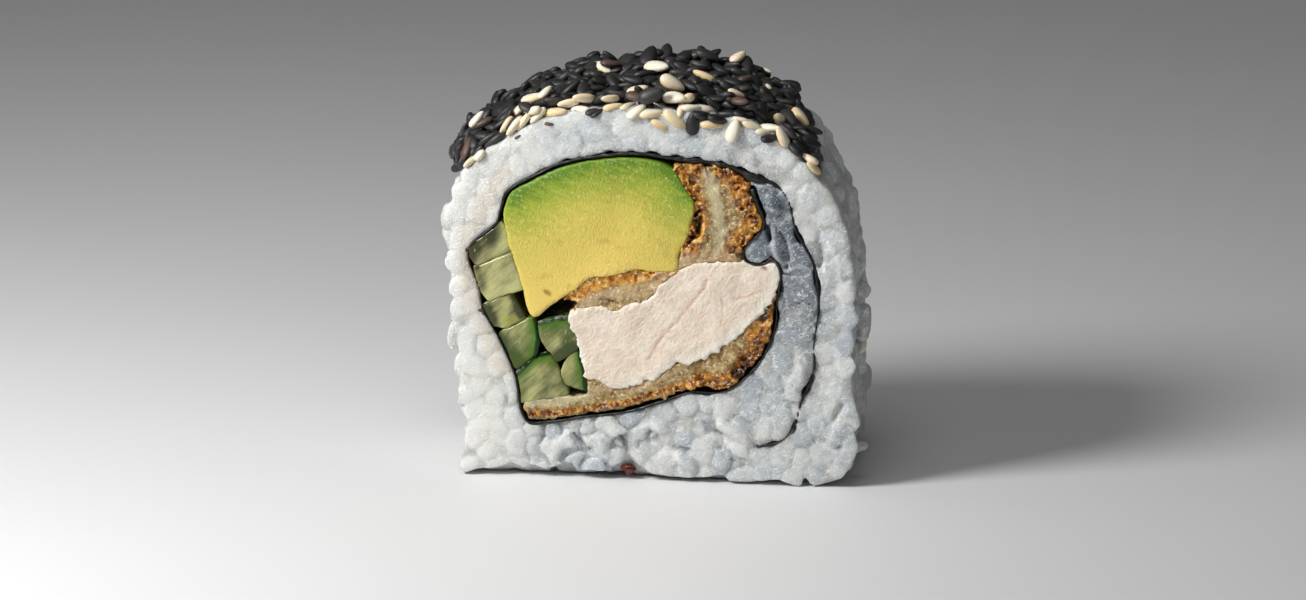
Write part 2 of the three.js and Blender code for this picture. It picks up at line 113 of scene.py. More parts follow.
CRUST_MIDDLE: Points = (
    (-10.8, 23.6), (-9, 23.4), (-5.2, 23), (-3, 24.2), (0, 25), (3, 28.4), (3, 30.2), (0.4, 30), (-5, 29.4),
    (-8.6, 28.8), (-10, 26.5), (-11.2, 26.2), (-12.1, 25.2), (-10.2, 24.8),
)
CRUST_LOWER: Points = (
    (-17.6, 10.3), (-12.2, 11.4), (-9, 11.9), (-8.8, 14.2), (-4, 15), (3, 18), (9, 21), (14, 25.5),
    (16.6, 27), (16.4, 24), (15.9, 21.2), (14.7, 18.2), (12.9, 16.4), (11.8, 14.6), (10.2, 13.6),
    (8.4, 13.2), (6.4, 13.8), (5, 13.2), (1.2, 11.9), (-4.3, 10.1), (-10, 9.1), (-14.4, 8.3), (-16.8, 8.1),
    (-17.6, 8.9),
)


@dataclass(frozen=True)
class SliceShape:
    """The slice's thickness, and how it shifts and narrows from its front to its back face."""

    half: float = 12.0
    back_shift: float = -0.6
    back_narrowing: float = -0.0214
    back_rise: float = 0.02

    def in_frame(self, places: Array) -> Array:
        """Moves places of the straight slice to where they lie in the leaning one.

        Args:
            places: n by 3 places in millimetres.

        Returns:
            The places in metres, in the frame of the CAD model.
        """
        x, y, z = places.T
        share = (y + self.half) / (2 * self.half)
        leaned = np.stack(
            [x + share * (self.back_shift + self.back_narrowing * x), y, z * (1 + share * self.back_rise)],
            axis=1,
        )
        return leaned * MM


SLICE = SliceShape()


# Numbers over space


def smooth_min(a: Array, b: Array, width: float) -> Array:
    """The smaller of two distances, with the crease between them rounded over a width."""
    blend = np.clip(0.5 + 0.5 * (b - a) / width, 0, 1)
    return b + (a - b) * blend - width * blend * (1 - blend)


def smooth_max(a: Array, b: Array, width: float) -> Array:
    """The larger of two distances, with the crease between them rounded over a width."""
    return -smooth_min(-a, -b, width)


def ramp(value: Array, low: float, high: float) -> Array:
    """A smooth rise from 0 at low to 1 at high."""
    share = np.clip((value - low) / (high - low), 0, 1)
    return share * share * (3 - 2 * share)


def dip(away: Array, width: float) -> Array:
    """A value that falls smoothly from 1 at a distance of 0 to nearly 0 at three widths."""
    return np.exp(-((away / width) ** 2))


def how_far(x: Array, y: Array, z: Array) -> Array:
    """How far places lie from a middle, from their distances along each axis."""
    return np.sqrt(x**2 + y**2 + z**2)


def unit(vector: Array) -> Array:
    """The vector of length 1 in the same direction."""
    return vector / max(np.linalg.norm(vector), 1e-6)


def between(values: Array, cells: Sequence[Array], shares: Sequence[Array]) -> Array:
    """Values between the samples of a box that goes on round its ends.

    Args:
        values: The samples.
        cells: Number of the sample before each place, along each axis.
        shares: How far each place lies on the way to the next sample, along each axis.

    Returns:
        The values, each from the eight samples round its place.
    """
    total: Array | float = 0.0
    for corner in range(8):
        steps = (corner & 1, corner >> 1 & 1, corner >> 2 & 1)
        index = tuple((cell + step) % size for cell, step, size in zip(cells, steps, values.shape))
        weight: Array | float = 1.0
        for share, step in zip(shares, steps):
            weight = weight * (share if step else 1 - share)
        total = total + values[index] * weight
    return total


class Noise:
    """Smooth random values over space, the same on each run."""

    SIZE = 32

    def __init__(self, seed: int) -> None:
        """Draws the table of values that the noise runs through."""
        self.table = np.random.default_rng(seed).uniform(-1, 1, (self.SIZE,) * 3).astype(np.float32)

    def at(self, x: Array, y: Array, z: Array, wave: float) -> Array:
        """Values from -1 to 1 at places.

        Args:
            x: Places along X in millimetres.
            y: Places along Y.
            z: Places along Z.
            wave: Distance over which the value changes, in millimetres.

        Returns:
            The values.
        """
        cells, shares = [], []
        for places in (x, y, z):
            scaled = np.asarray(places, dtype=np.float32) / wave + 100
            cells.append(np.floor(scaled).astype(int))
            shares.append(ramp(scaled - cells[-1], 0, 1))
        return between(self.table, cells, shares)

    def layered(self, x: Array, y: Array, z: Array, wave: float, layers: int = 3) -> Array:
        """Values from about -1 to 1 with finer ones added to coarser ones."""
        return sum(self.at(x, y, z, wave / 2**n) * 0.6**n for n in range(layers)) / 1.6


def smooth_path(points: Points, closed: bool, step: float = 0.5) -> Array:
    """Evenly spaced places along a smooth curve.

    Args:
        points: Places (x, z) that the curve runs through.
        closed: Whether the curve ends where it began.
        step: Distance between the places returned.

    Returns:
        The places as an n by 2 array, without a repeated last one.
    """
    given = np.asarray(points, float)
    if closed:
        padded = [given[-1], *given, given[0], given[1]]
    else:
        padded = [2 * given[0] - given[1], *given, 2 * given[-1] - given[-2]]
    curve = []
    for i in range(len(padded) - 3):
        near = padded[i : i + 4]
        knots = np.cumsum([0] + [np.linalg.norm(near[k + 1] - near[k]) ** 0.5 for k in range(3)])
        t = np.linspace(knots[1], knots[2], 16, endpoint=False)[:, None]
        for depth in (1, 2):
            spans = [(knots[k], knots[k + depth]) for k in range(4 - depth)]
            near = [
                (near[k] * (end - t) + near[k + 1] * (t - start)) / (end - start)
                for k, (start, end) in enumerate(spans)]
        curve.append((near[0] * (knots[2] - t) + near[1] * (t - knots[1])) / (knots[2] - knots[1]))
    places = np.concatenate(curve + [given[:1] if closed else given[-1:]])
    lengths = np.concatenate([[0], np.cumsum(np.linalg.norm(np.diff(places, axis=0), axis=1))])
    wanted = np.linspace(0, lengths[-1], max(int(round(lengths[-1] / step)), 3) + 1)
    made = np.stack([np.interp(wanted, lengths, places[:, k]) for k in (0, 1)], axis=1)
    return made[:-1] if closed else made


def path_distance(x: Array, z: Array, path: Array, closed: bool = False) -> tuple[Array, Array]:
    """How far each place of a grid lies from a path.

    Args:
        x: Places along X.
        z: Places along Z.
        path: The path's places, n by 2.
        closed: Whether a last stretch leads back to the first place.

    Returns:
        The distances over the grid of x and z, and how far along the path the nearest point is.
    """
    ends = np.roll(path, -1, axis=0) if closed else path[1:]
    starts = path if closed else path[:-1]
    nearest = np.full(np.broadcast_shapes(x.shape, z.shape), np.inf, np.float32)
    along = np.zeros_like(nearest)
    covered = 0.0
    for (ax, az), (bx, bz) in zip(starts, ends):
        dx, dz = bx - ax, bz - az
        length = math.hypot(dx, dz)
        share = np.clip(((x - ax) * dx + (z - az) * dz) / max(length * length, 1e-9), 0, 1)
        distance = np.hypot(x - ax - share * dx, z - az - share * dz)
        closer = distance < nearest
        nearest = np.where(closer, distance, nearest)
        along = np.where(closer, covered + share * length, along)
        covered += length
    return nearest, along


def loop_distance(x: Array, z: Array, loop: Array) -> Array:
    """Distances from a closed outline, negative inside it."""
    distance, _ = path_distance(x, z, loop, closed=True)
    inside = np.zeros(distance.shape, bool)
    for (ax, az), (bx, bz) in zip(loop, np.roll(loop, -1, axis=0)):
        if az != bz:
            crossed = ((az > z) != (bz > z)) & (x < ax + (bx - ax) * (z - az) / (bz - az))
            inside ^= crossed
    return np.where(inside, -distance, distance)


def nori_clearance(x: Array, z: Array) -> Array:
    """How far each place of a grid lies from the surface of the nori."""
    path = smooth_path(NORI_PATH, False)
    away, along = path_distance(x, z, path)
    shares, sizes = np.array(NORI_THICKNESS).T
    length = np.linalg.norm(np.diff(path, axis=0), axis=1).sum()
    return away - np.interp(along / length, shares, sizes).astype(np.float32) / 2


@dataclass
class Grid:
    """A box of sample places with its own spacing along each axis, in millimetres."""

    x: Array
    y: Array
    z: Array

    @property
    def axes(self) -> tuple[Array, Array, Array]:
        """The places along each axis."""
        return self.x, self.y, self.z

    @property
    def spread(self) -> tuple[Array, Array, Array]:
        """The axes shaped so that arithmetic on them fills the box."""
        return self.x[:, None, None], self.y[None, :, None], self.z[None, None, :]

    @property
    def face(self) -> tuple[Array, Array]:
        """X and Z shaped so that arithmetic on them fills a face of the box."""
        return self.x[:, None], self.z[None, :]

    def block(self, middle: Sequence[float], reach: float) -> tuple[tuple[slice, ...], list[Array]]:
        """The part of the box near a place, and how far it lies from the place along each axis."""
        spans, apart = [], []
        for n, (places, centre) in enumerate(zip(self.axes, middle)):
            spans.append(slice(*np.searchsorted(places, (centre - reach, centre + reach))))
            apart.append((places[spans[n]] - centre).reshape([-1 if k == n else 1 for k in range(3)]))
        return tuple(spans), apart

    def groove(self, line: Points, width: float) -> Array:
        """A dent of depth 1 along a line in the cut face."""
        away, _ = path_distance(*self.face, smooth_path(line, False, 0.3))
        return dip(away, width)[:, None, :]

    def sample(self, values: Array, places: Array) -> Array:
        """Values at places inside the box, by straight lines between the samples."""
        cells, shares = [], []
        for axis, wanted in zip(self.axes, places.T):
            cell = np.clip(np.searchsorted(axis, wanted) - 1, 0, len(axis) - 2)
            cells.append(cell)
            shares.append(np.clip((wanted - axis[cell]) / (axis[cell + 1] - axis[cell]), 0, 1))
        return between(values, cells, shares)

    def surface(self, distance: Array) -> tuple[Array, Array, Array]:
        """The closed surface where a distance is 0, as a net of four-cornered faces.

        Args:
            distance: Values over the box, negative inside the shape.

        Returns:
            Corner places in millimetres, the faces' corners, and each corner's cell in the box.
        """
        inside = distance < 0
        shape = tuple(n - 1 for n in inside.shape)
        corners = [(i, j, k) for i in (0, 1) for j in (0, 1) for k in (0, 1)]
        count = np.zeros(shape, np.int8)
        for corner in corners:
            count += inside[tuple(slice(c, c + n) for c, n in zip(corner, shape))]
        cells = np.argwhere((count > 0) & (count < 8))
        values = {corner: distance[tuple((cells + corner).T)] for corner in corners}
        places = np.zeros((len(cells), 3))
        crossings = np.zeros(len(cells))
        for start in corners:
            for axis in range(3):
                if start[axis]:
                    continue
                end = tuple(v + (n == axis) for n, v in enumerate(start))
                crosses = (values[start] < 0) != (values[end] < 0)
                gap = np.where(crosses, values[start] - values[end], 1)
                places += crosses[:, None] * np.array(start, float)
                places[:, axis] += np.where(crosses, values[start] / gap, 0)
                crossings += crosses
        places /= crossings[:, None]
        for n, axis in enumerate(self.axes):
            low = axis[cells[:, n]]
            places[:, n] = low + places[:, n] * (axis[cells[:, n] + 1] - low)
        number = np.full(shape, -1, np.int64)
        number[tuple(cells.T)] = np.arange(len(cells))
        faces = []
        for axis in range(3):
            ahead, behind = (
                tuple(part if n == axis else slice(None) for n in range(3))
                for part in (slice(1, None), slice(None, -1)))
            edges = np.argwhere(inside[ahead] != inside[behind])
            u, v = (axis + 1) % 3, (axis + 2) % 3
            for side in (u, v):
                edges = edges[(edges[:, side] > 0) & (edges[:, side] < shape[side])]
            ring = []
            for du, dv in ((-1, -1), (0, -1), (0, 0), (-1, 0)):
                cell = edges.copy()
                cell[:, u] += du
                cell[:, v] += dv
                ring.append(number[tuple(cell.T)])
            quads = np.stack(ring, axis=1)
            outward = inside[tuple(edges.T)]
            faces.append(np.where(outward[:, None], quads, quads[:, ::-1]))
        return places, np.concatenate(faces), cells


def even_axis(low: float, high: float, step: float) -> Array:
    """Places a step apart that cover a range."""
    return low + step * np.arange(int(math.ceil((high - low) / step)) + 1)


def face_axis(half: float, fine: float, coarse: float, band: float) -> Array:
    """Places along Y, close together in a band inside each cut face and further apart between."""
    outer = np.arange(-half - 4 * fine, -half + band, fine)
    count = max(int(round(-2 * outer[-1] / coarse)), 2)
    middle = np.linspace(outer[-1], -outer[-1], count + 1)[1:-1]
    return np.concatenate([outer, middle, -outer[::-1]])


# Meshes


def linked(name: str, data: bpy.types.ID) -> Piece:
    """A new object of the scene."""
    made = bpy.data.objects.new(name, data)
    bpy.context.scene.collection.objects.link(made)
    return made


def keep(mesh: bpy.types.Mesh, name: str, values: Array, kind: str = "FLOAT") -> None:
    """Keeps a value with each of a mesh's corners."""
    kept = mesh.attributes.new(name, kind, "POINT")
    kept.data.foreach_set("value", np.asarray(values, np.float32).ravel())


def new_mesh(name: str, places: Array | list, edges: Points = (), faces: Points = ()) -> bpy.types.Mesh:
    """A smooth mesh from its corners in metres."""
    mesh = bpy.data.meshes.new(name)
    mesh.from_pydata(places, edges, faces)
    mesh.shade_smooth()
    return mesh


def new_piece(name: str, places: Array, faces: Array, marks: dict[str, Array] | None = None) -> Piece:
    """A mesh object at the origin.

    Args:
        name: The piece's name.
        places: Corners in millimetres, in the straight slice.
        faces: The corners of each face.
        marks: Values to keep with the corners, by name.

    Returns:
        The object, linked to the scene.
    """
    mesh = new_mesh(name, SLICE.in_frame(places).tolist(), [], faces.tolist())
    for key, values in (marks or {}).items():
        keep(mesh, key, values)
    return linked(name, mesh)


def corner_places(mesh: bpy.types.Mesh) -> Array:
    """Where a mesh's corners lie, in millimetres."""
    places = np.empty(len(mesh.vertices) * 3)
    mesh.vertices.foreach_get("co", places)
    return places.reshape(-1, 3) / MM


def relaxed(places: Array, faces: Array, share: float = 0.5) -> Array:
    """Corner places after each was moved part of the way to the middle of its neighbours."""
    pairs = np.concatenate([faces[:, [k, (k + 1) % 4]] for k in range(4)])
    count = np.bincount(pairs.ravel(), minlength=len(places))[:, None]
    total = np.zeros_like(places)
    for axis in range(3):
        for one in (0, 1):
            total[:, axis] += np.bincount(pairs[:, one], places[pairs[:, 1 - one], axis], len(places))
    return places + share * (total / np.maximum(count, 1) - places)


def largest_part(places: Array, faces: Array) -> tuple[Array, Array]:
    """The connected part of a mesh with the most corners, without loose specks.

    Args:
        places: Corner places.
        faces: The corners of each four-cornered face.

    Returns:
        The part's corner places and faces.
    """
    label = np.arange(len(places))
    while True:
        lowest = label[faces].min(axis=1)
        new = label.copy()
        np.minimum.at(new, faces.ravel(), np.repeat(lowest, 4))
        new = new[new]
        if (new == label).all():
            break
        label = new
    main = np.bincount(label).argmax()
    kept = label == main
    number = np.cumsum(kept) - 1
    return places[kept], number[faces[kept[faces[:, 0]]]]


def plain_mesh(piece: Piece) -> Piece:
    """Turns what a piece's modifiers make into its own mesh and removes them."""
    evaluated = piece.evaluated_get(bpy.context.evaluated_depsgraph_get())
    made = bpy.data.meshes.new_from_object(evaluated)
    piece.modifiers.clear()
    piece.data = made
    return piece


def face_outwards(piece: Piece) -> None:
    """Turns every face of a closed mesh outwards."""
    shape = bmesh.new()
    shape.from_mesh(piece.data)
    bmesh.ops.recalc_face_normals(shape, faces=shape.faces)
    shape.to_mesh(piece.data)
    shape.free()


# Node trees


def arithmetic(operation: str, turned: bool = False) -> Callable[[Wire, Wire | float], Wire]:
    """A method that adds a Math node on a wire and another number, the other first where turned."""

    def added(wire: Wire, other: Wire | float) -> Wire:
        """The node's result."""
        first, second = (other, wire) if turned else (wire, other)
        return wire.graph.add("ShaderNodeMath", {0: first, 1: second}, operation=operation)[0]

    return added


class Wire:
    """A number in a node tree, on which arithmetic adds Math nodes."""

    def __init__(self, graph: Graph, socket: bpy.types.NodeSocket) -> None:
        """Keeps the socket and the tree it belongs to."""
        self.graph = graph
        self.socket = socket

    __add__ = __radd__ = arithmetic("ADD")
    __sub__ = arithmetic("SUBTRACT")
    __rsub__ = arithmetic("SUBTRACT", turned=True)
    __mul__ = __rmul__ = arithmetic("MULTIPLY")
    __truediv__ = arithmetic("DIVIDE")
    __pow__ = arithmetic("POWER")
    larger = arithmetic("MAXIMUM")

    def rise(self, low: float, high: float) -> Wire:
        """A smooth rise from 0 at low to 1 at high."""
        inputs = {"Value": self, "From Min": low, "From Max": high}
        return self.graph.add("ShaderNodeMapRange", inputs, interpolation_type="SMOOTHSTEP")["Result"]


@dataclass
class Added:
    """A node that was added to a tree, with its outputs by name or number."""

    graph: Graph
    node: bpy.types.Node

    def __getitem__(self, name: str | int) -> Wire:
        """One of the node's outputs."""
        return Wire(self.graph, self.node.outputs[name])


class Graph:
    """A node tree that is built by adding nodes with their settings and inputs."""

    def __init__(self, tree: bpy.types.NodeTree) -> None:
        """Keeps the tree."""
        self.tree = tree

    def feed(self, socket: bpy.types.NodeSocket, value: object) -> None:
        """Links a socket to a wire, or sets its value."""
        if isinstance(value, Wire):
            self.tree.links.new(value.socket, socket)
        else:
            socket.default_value = value

    def add(self, kind: str, inputs: dict | None = None, **settings: object) -> Added:
        """Adds a node.

        Args:
            kind: The node's type.
            inputs: Values or wires for its sockets, by name or number.
            settings: Its properties, set before its sockets.

        Returns:
            The added node.
        """
        node = self.tree.nodes.new(kind)
        for key, value in settings.items():
            setattr(node, key, value)
        for key, value in (inputs or {}).items():
            self.feed(node.inputs[key], value)
        return Added(self, node)

    def parts(self, vector: Wire) -> list[Wire]:
        """The three numbers of a vector."""
        split = self.add("ShaderNodeSeparateXYZ", {0: vector})
        return [split[n] for n in range(3)]


Colour = tuple[float, float, float, float]


def linear(red: int, green: int, blue: int) -> Colour:
    """A shader colour from the numbers of a screen colour."""
    shares = [value / 255 for value in (red, green, blue)]
    return (*(s / 12.92 if s <= 0.04045 else ((s + 0.055) / 1.055) ** 2.4 for s in shares), 1.0)


class Finish(Graph):
    """A material with one Principled shader, and the patterns that its finishes share."""

    def __init__(self, name: str) -> None:
        """Makes an empty material."""
        self.material = bpy.data.materials.new(name)
        self.material.use_nodes = True
        super().__init__(self.material.node_tree)

    def places(self) -> Wire:
        """Object coordinates, in metres."""
        return self.add("ShaderNodeTexCoord")["Object"]

    def axis(self, number: int) -> Wire:
        """X, Y or Z of the Object coordinates, as 0, 1 or 2, in millimetres."""
        return self.parts(self.places())[number] * (1 / MM)

    def mark(self, name: str) -> Wire:
        """A value kept with the mesh's corners."""
        return self.add("ShaderNodeAttribute", attribute_name=name)["Fac"]

    def noise(
        self, wave: float, detail: float = 2.0, stretch: tuple = (1, 1, 1), turn: tuple = (0, 0, 0),
        warp: float = 0.0,
    ) -> Wire:
        """Noise from about 0 to 1.

        Args:
            wave: Size of the patches in millimetres.
            detail: Number of finer layers.
            stretch: How many times longer the patches are along each axis.
            turn: Turn of the pattern about each axis, in radians.
            warp: Distortion of the pattern.

        Returns:
            The noise value.
        """
        sizes = tuple(wave * MM * times for times in stretch)
        mapped = self.add("ShaderNodeMapping", {
            "Vector": self.places(), "Rotation": turn, "Scale": sizes}, vector_type="TEXTURE")
        return self.add("ShaderNodeTexNoise", {
            "Vector": mapped[0], "Scale": 1.0, "Detail": detail, "Distortion": warp})["Fac"]

    def blend(self, share: Wire | float, first: Wire | Colour, second: Wire | Colour) -> Wire:
        """A mix of two colours."""
        inputs = {0: share, 6: first, 7: second}
        return self.add("ShaderNodeMix", inputs, data_type="RGBA", clamp_factor=True)[2]

    def layers(self, colour: Wire | Colour, *over: tuple[Wire | float, Colour]) -> Wire:
        """A colour with others laid over it one by one, each as (share, colour)."""
        for share, other in over:
            colour = self.blend(share, colour, other)
        return colour

    def stops(self, value: Wire, stops: Sequence[tuple[float, Colour]]) -> Wire:
        """A colour that follows a value through stops of (place, colour)."""
        added = self.add("ShaderNodeValToRGB", {0: value})
        elements = added.node.color_ramp.elements
        for place, _ in stops[2:]:
            elements.new(place)
        for element, (place, colour) in zip(elements, stops):
            element.position = place
            element.color = colour
        return added["Color"]

    def relief(self, *heights: tuple[Wire, float]) -> Wire:
        """A normal bumped by heights from 0 to 1, each with what 1 is in millimetres."""
        inputs: dict = {}
        for height, depth in heights:
            inputs |= {"Height": height, "Distance": depth * MM, "Strength": 1.0}
            inputs["Normal"] = self.add("ShaderNodeBump", inputs)["Normal"]
        return inputs["Normal"]

    def dress(self, **sockets: Wire | float | tuple) -> Material:
        """Sets the shader's sockets, with _ for each space in a name, and returns the material."""
        for key, value in sockets.items():
            self.feed(self.tree.nodes["Principled BSDF"].inputs[key.replace("_", " ")], value)
        return self.material


class ShapeGraph(Graph):
    """A Geometry Nodes tree with named inputs."""

    def __init__(self, name: str) -> None:
        """Makes a tree with a mesh in and a mesh out."""
        super().__init__(bpy.data.node_groups.new(name, "GeometryNodeTree"))
        for way in ("INPUT", "OUTPUT"):
            self.tree.interface.new_socket("Geometry", in_out=way, socket_type="NodeSocketGeometry")
        self.source = self.add("NodeGroupInput")
        self.identifiers: dict[str, str] = {}

    def given(self, name: str, kind: str = "NodeSocketFloat") -> Wire:
        """A named input of the tree."""
        if name not in self.identifiers:
            item = self.tree.interface.new_socket(name, in_out="INPUT", socket_type=kind)
            self.identifiers[name] = item.identifier
        return self.source[name]

    def kept(self, name: str, kind: str = "FLOAT") -> Wire:
        """A value kept with each point."""
        return self.add("GeometryNodeInputNamedAttribute", {"Name": name}, data_type=kind)["Attribute"]

    def noise(self, wave: float, x: Wire, y: Wire, z: Wire) -> Wire:
        """Noise from about 0 to 1 at a place, with patches of a size in metres."""
        return self.add("ShaderNodeTexNoise", {
            "Vector": self.vector(x, y, z), "Scale": 1 / wave, "Detail": 2.0})["Fac"]

    def vector(self, x: Wire | float, y: Wire | float, z: Wire | float) -> Wire:
        """A vector from three numbers."""
        return self.add("ShaderNodeCombineXYZ", {0: x, 1: y, 2: z})[0]

    def end(self, geometry: Wire, material: Material) -> None:
        """Realizes the instances, sets the material and leads the mesh out."""
        real = self.add("GeometryNodeRealizeInstances", {0: geometry})
        smooth = self.add("GeometryNodeSetShadeSmooth", {0: real[0]})
        dressed = self.add("GeometryNodeSetMaterial", {"Geometry": smooth[0], "Material": material})
        self.add("NodeGroupOutput", {0: dressed[0]})

    def run(self, piece: Piece, values: dict[str, object]) -> Piece:
        """Runs the tree on a piece with values for its inputs, and keeps the result as its mesh."""
        modifier = piece.modifiers.new("shape", "NODES")
        modifier.node_group = self.tree
        for name, value in values.items():
            modifier[self.identifiers[name]] = value
        return plain_mesh(piece)


# Finishes


@dataclass(frozen=True)
class RiceFinish:
    """Cooked rice: milkier at the left, where light is painted too, glassier elsewhere, wet with painted
    glints, and given painted shade in hollows and where the nori shines through.
    """

    milk_and_light: Colour = linear(238, 237, 231)
    pearl: Colour = linear(230, 231, 227)
    cool: Colour = linear(190, 198, 203)
    rim: Colour = linear(240, 240, 237)
    hollow: Colour = linear(168, 166, 156)
    cream: Colour = linear(226, 208, 176)
    shaded: Colour = linear(102, 113, 124)
    glint: Colour = linear(252, 252, 252)

    def make(self) -> Material:
        """Builds the material."""
        finish = Finish("cooked_rice")
        shade = finish.mark("shade")
        cloud = finish.noise(6.0, 3.0)
        wisps = finish.noise(1.3, 4.0, warp=0.5)
        clear = ((finish.mark("grain") - 0.5) * 0.8 + (wisps - 0.5) * 1.5 + 0.5).rise(0.0, 1.0)
        # The left gets the milk colour: partly milkier rice, partly painted light
        left = (cloud * 8.0 - finish.axis(0)).rise(15.0, 25.0)
        seams = (0.5 - finish.mark("gap")).rise(0.0, 0.5) * wisps.rise(0.46, 0.58) * 0.5
        line = seams.larger(finish.mark("skin") * wisps.rise(0.3, 0.5) * 0.8)
        streaks = finish.noise(0.42, 4.0, (1.7, 1, 1), (0, -0.7, 0), 1.5)
        # Painted glints: streaky white specks, more of them to the right, where the roughness is also lower
        glints_to_right = (finish.axis(0) + cloud * 12.0).rise(4.0, 16.0)
        painted_glints = (streaks + glints_to_right * 0.035).rise(0.59, 0.64) * cloud.rise(0.3, 0.5)
        colour = finish.layers(
            finish.blend(clear, self.pearl, self.cool),
            (left * 0.85, self.milk_and_light),
            # Painted shade in the hollows between the grains
            ((0.02 - finish.mark("inner")).rise(0.0, 0.6) * 0.5, self.hollow),
            (finish.mark("warm"), self.cream),
            # Painted shade over the inner strip and next to the nori
            (shade * (wisps * 0.7 + 0.65), self.shaded),
            (line * (1.0 - shade * 0.65), self.rim),
            # Painted glints, fewer over the painted shade of the strip
            (painted_glints * (0.75 - shade * 0.3), self.glint),
        )
        walls = (11.9 - finish.axis(1).larger(finish.axis(1) * -1.0)).rise(0.0, 0.6)
        ribs = finish.noise(0.7, 3.0, (3, 1, 6)) * walls
        return finish.dress(
            Base_Color=colour, Roughness=0.22 - painted_glints * 0.12 + (wisps - 0.5) * 0.3,
            Normal=finish.relief((ribs, 0.24), (wisps, 0.12), (streaks, 0.3)),
            Subsurface_Weight=0.85, Subsurface_Radius=(1.0, 1.0, 1.05), Subsurface_Scale=0.0026, IOR=1.5,
            Specular_IOR_Level=0.75,
        )


class SeedKind(Enum):
    """Colours of sesame seed: name, hull, its lighter parts, and roughness."""

    BLACK = ("black_seed", linear(34, 34, 34), linear(66, 64, 62), 0.48)
    WHITE = ("white_seed", linear(244, 236, 216), linear(230, 200, 144), 0.42)
    TOASTED = ("toasted_seed", linear(92, 72, 60), linear(64, 54, 48), 0.5)


@dataclass(frozen=True)
class SeedFinish:
    """The hull of a sesame seed, lighter along its rim and different from seed to seed."""

    kind: SeedKind

    def make(self) -> Material:
        """Builds the material."""
        name, body, other, roughness = self.kind.value
        finish = Finish(name)
        mottle = finish.noise(0.5, 3.0)
        share = (finish.mark("tone") * 0.6 + finish.mark("rim") * 0.4 + mottle * 0.4).rise(0.45, 1.25)
        return finish.dress(
            Base_Color=finish.blend(share, body, other), Roughness=mottle * 0.2 + (roughness - 0.1),
            Normal=finish.relief((finish.noise(0.22, 2.0), 0.03)),
            Subsurface_Weight=0.0 if self.kind is SeedKind.BLACK else 0.2, Subsurface_Scale=0.0006,
        )


@dataclass(frozen=True)
class NoriFinish:
    """Damp nori: nearly black, fibrous and unevenly glossy."""

    dark: Colour = linear(15, 16, 14)
    light: Colour = linear(44, 42, 34)
    stained: Colour = linear(104, 66, 34)

    def make(self) -> Material:
        """Builds the material."""
        finish = Finish("damp_nori")
        fibres = finish.noise(0.9, 4.0, warp=0.6)
        beside = (finish.axis(0) * -1.0).rise(20.8, 22.6) * (finish.axis(2) - 24.0).rise(0.0, 2.0)
        colour = finish.layers(
            finish.blend(fibres.rise(0.5, 0.85), self.dark, self.light),
            (beside * (34.0 - finish.axis(2)).rise(0.0, 3.0) * 0.8, self.stained),
        )
        crinkle = finish.relief((finish.noise(0.6, 4.0), 0.12))
        return finish.dress(Base_Color=colour, Roughness=fibres * 0.4 + 0.2, Normal=crinkle)


@dataclass(frozen=True)
class AvocadoFinish:
    """Avocado flesh: green under the skin side, then yellow, with the fine marks of the knife and specks of
    painted sheen.
    """

    green: Colour = linear(100, 140, 26)
    lime: Colour = linear(160, 176, 52)
    yellow: Colour = linear(219, 202, 92)
    butter: Colour = linear(243, 212, 110)
    ochre: Colour = linear(176, 142, 48)
    painted_sheen: Colour = linear(250, 244, 200)

    def make(self) -> Material:
        """Builds the material."""
        finish = Finish("avocado_flesh")
        streaks = finish.noise(0.5, 3.0, (5, 5, 1), (0, 0.35, 0))
        cloud = finish.noise(4.0, 2.0)
        grains = finish.noise(0.26, 3.0, (1, 1, 1.3))
        depth = finish.mark("depth") + (streaks - 0.5) * 5.0 + (cloud - 0.5) * 2.4 + (grains - 0.5) * 3.2
        graded = finish.stops(depth * (1 / 20), [
            (0.0, self.green), (0.13, self.lime), (0.36, self.yellow), (0.8, self.butter)])
        colour = finish.layers(
            graded,
            (finish.noise(2.2, 1.0).rise(0.62, 0.8) * 0.35, self.ochre),
            (finish.mark("bruise"), self.ochre),
            # Painted sheen: light specks on the highest points of the grain
            (grains.rise(0.6, 0.74) * 0.5, self.painted_sheen),
        )
        return finish.dress(
            Base_Color=colour, Roughness=finish.noise(0.5, 2.0) * 0.3 + 0.2,
            Normal=finish.relief((grains, 0.16), (streaks, 0.09)),
            Subsurface_Weight=0.15, Subsurface_Scale=0.0012, Subsurface_Radius=(1.0, 0.8, 0.3),
        )


@dataclass(frozen=True)
class ChickenFinish:
    """Cooked white meat: cream with a pink cast, finely fibrous, whiter at its torn edge."""

    pale: Colour = linear(248, 235, 216)
    warm: Colour = linear(233, 213, 191)
    pink: Colour = linear(212, 160, 132)
    fringe: Colour = linear(250, 243, 228)
    brown: Colour = linear(132, 88, 48)

    def make(self) -> Material:
        """Builds the material."""
        finish = Finish("chicken_meat")
        fibres = finish.noise(0.5, 4.0, (2.6, 1, 1), (0, -0.6, 0), 0.8)
        cloud = finish.noise(3.0, 3.0)
        bundles = finish.noise(1.6, 4.0, (1.6, 1, 1), (0, -0.6, 0), 1.5)
        veins = (1.0 - ((bundles - 0.5) * 60.0) ** 2.0).larger(0.0) * cloud.rise(0.4, 0.6)
        colour = finish.layers(
            finish.blend((fibres * 0.7 + cloud * 0.7).rise(0.45, 0.9), self.warm, self.pale),
            (veins * 0.4, self.pink),
            (finish.mark("fringe") * 0.7, self.fringe),
            (finish.mark("crease") * 0.6, self.pink),
            (finish.mark("spot") * 0.8, self.brown),
        )
        return finish.dress(
            Base_Color=colour, Roughness=cloud * 0.3 + 0.25,
            Normal=finish.relief((bundles, 0.12), (fibres, 0.09), (finish.noise(0.36, 3.0), 0.12)),
            Subsurface_Weight=0.2, Subsurface_Scale=0.0012, Subsurface_Radius=(1.0, 0.7, 0.5),
        )


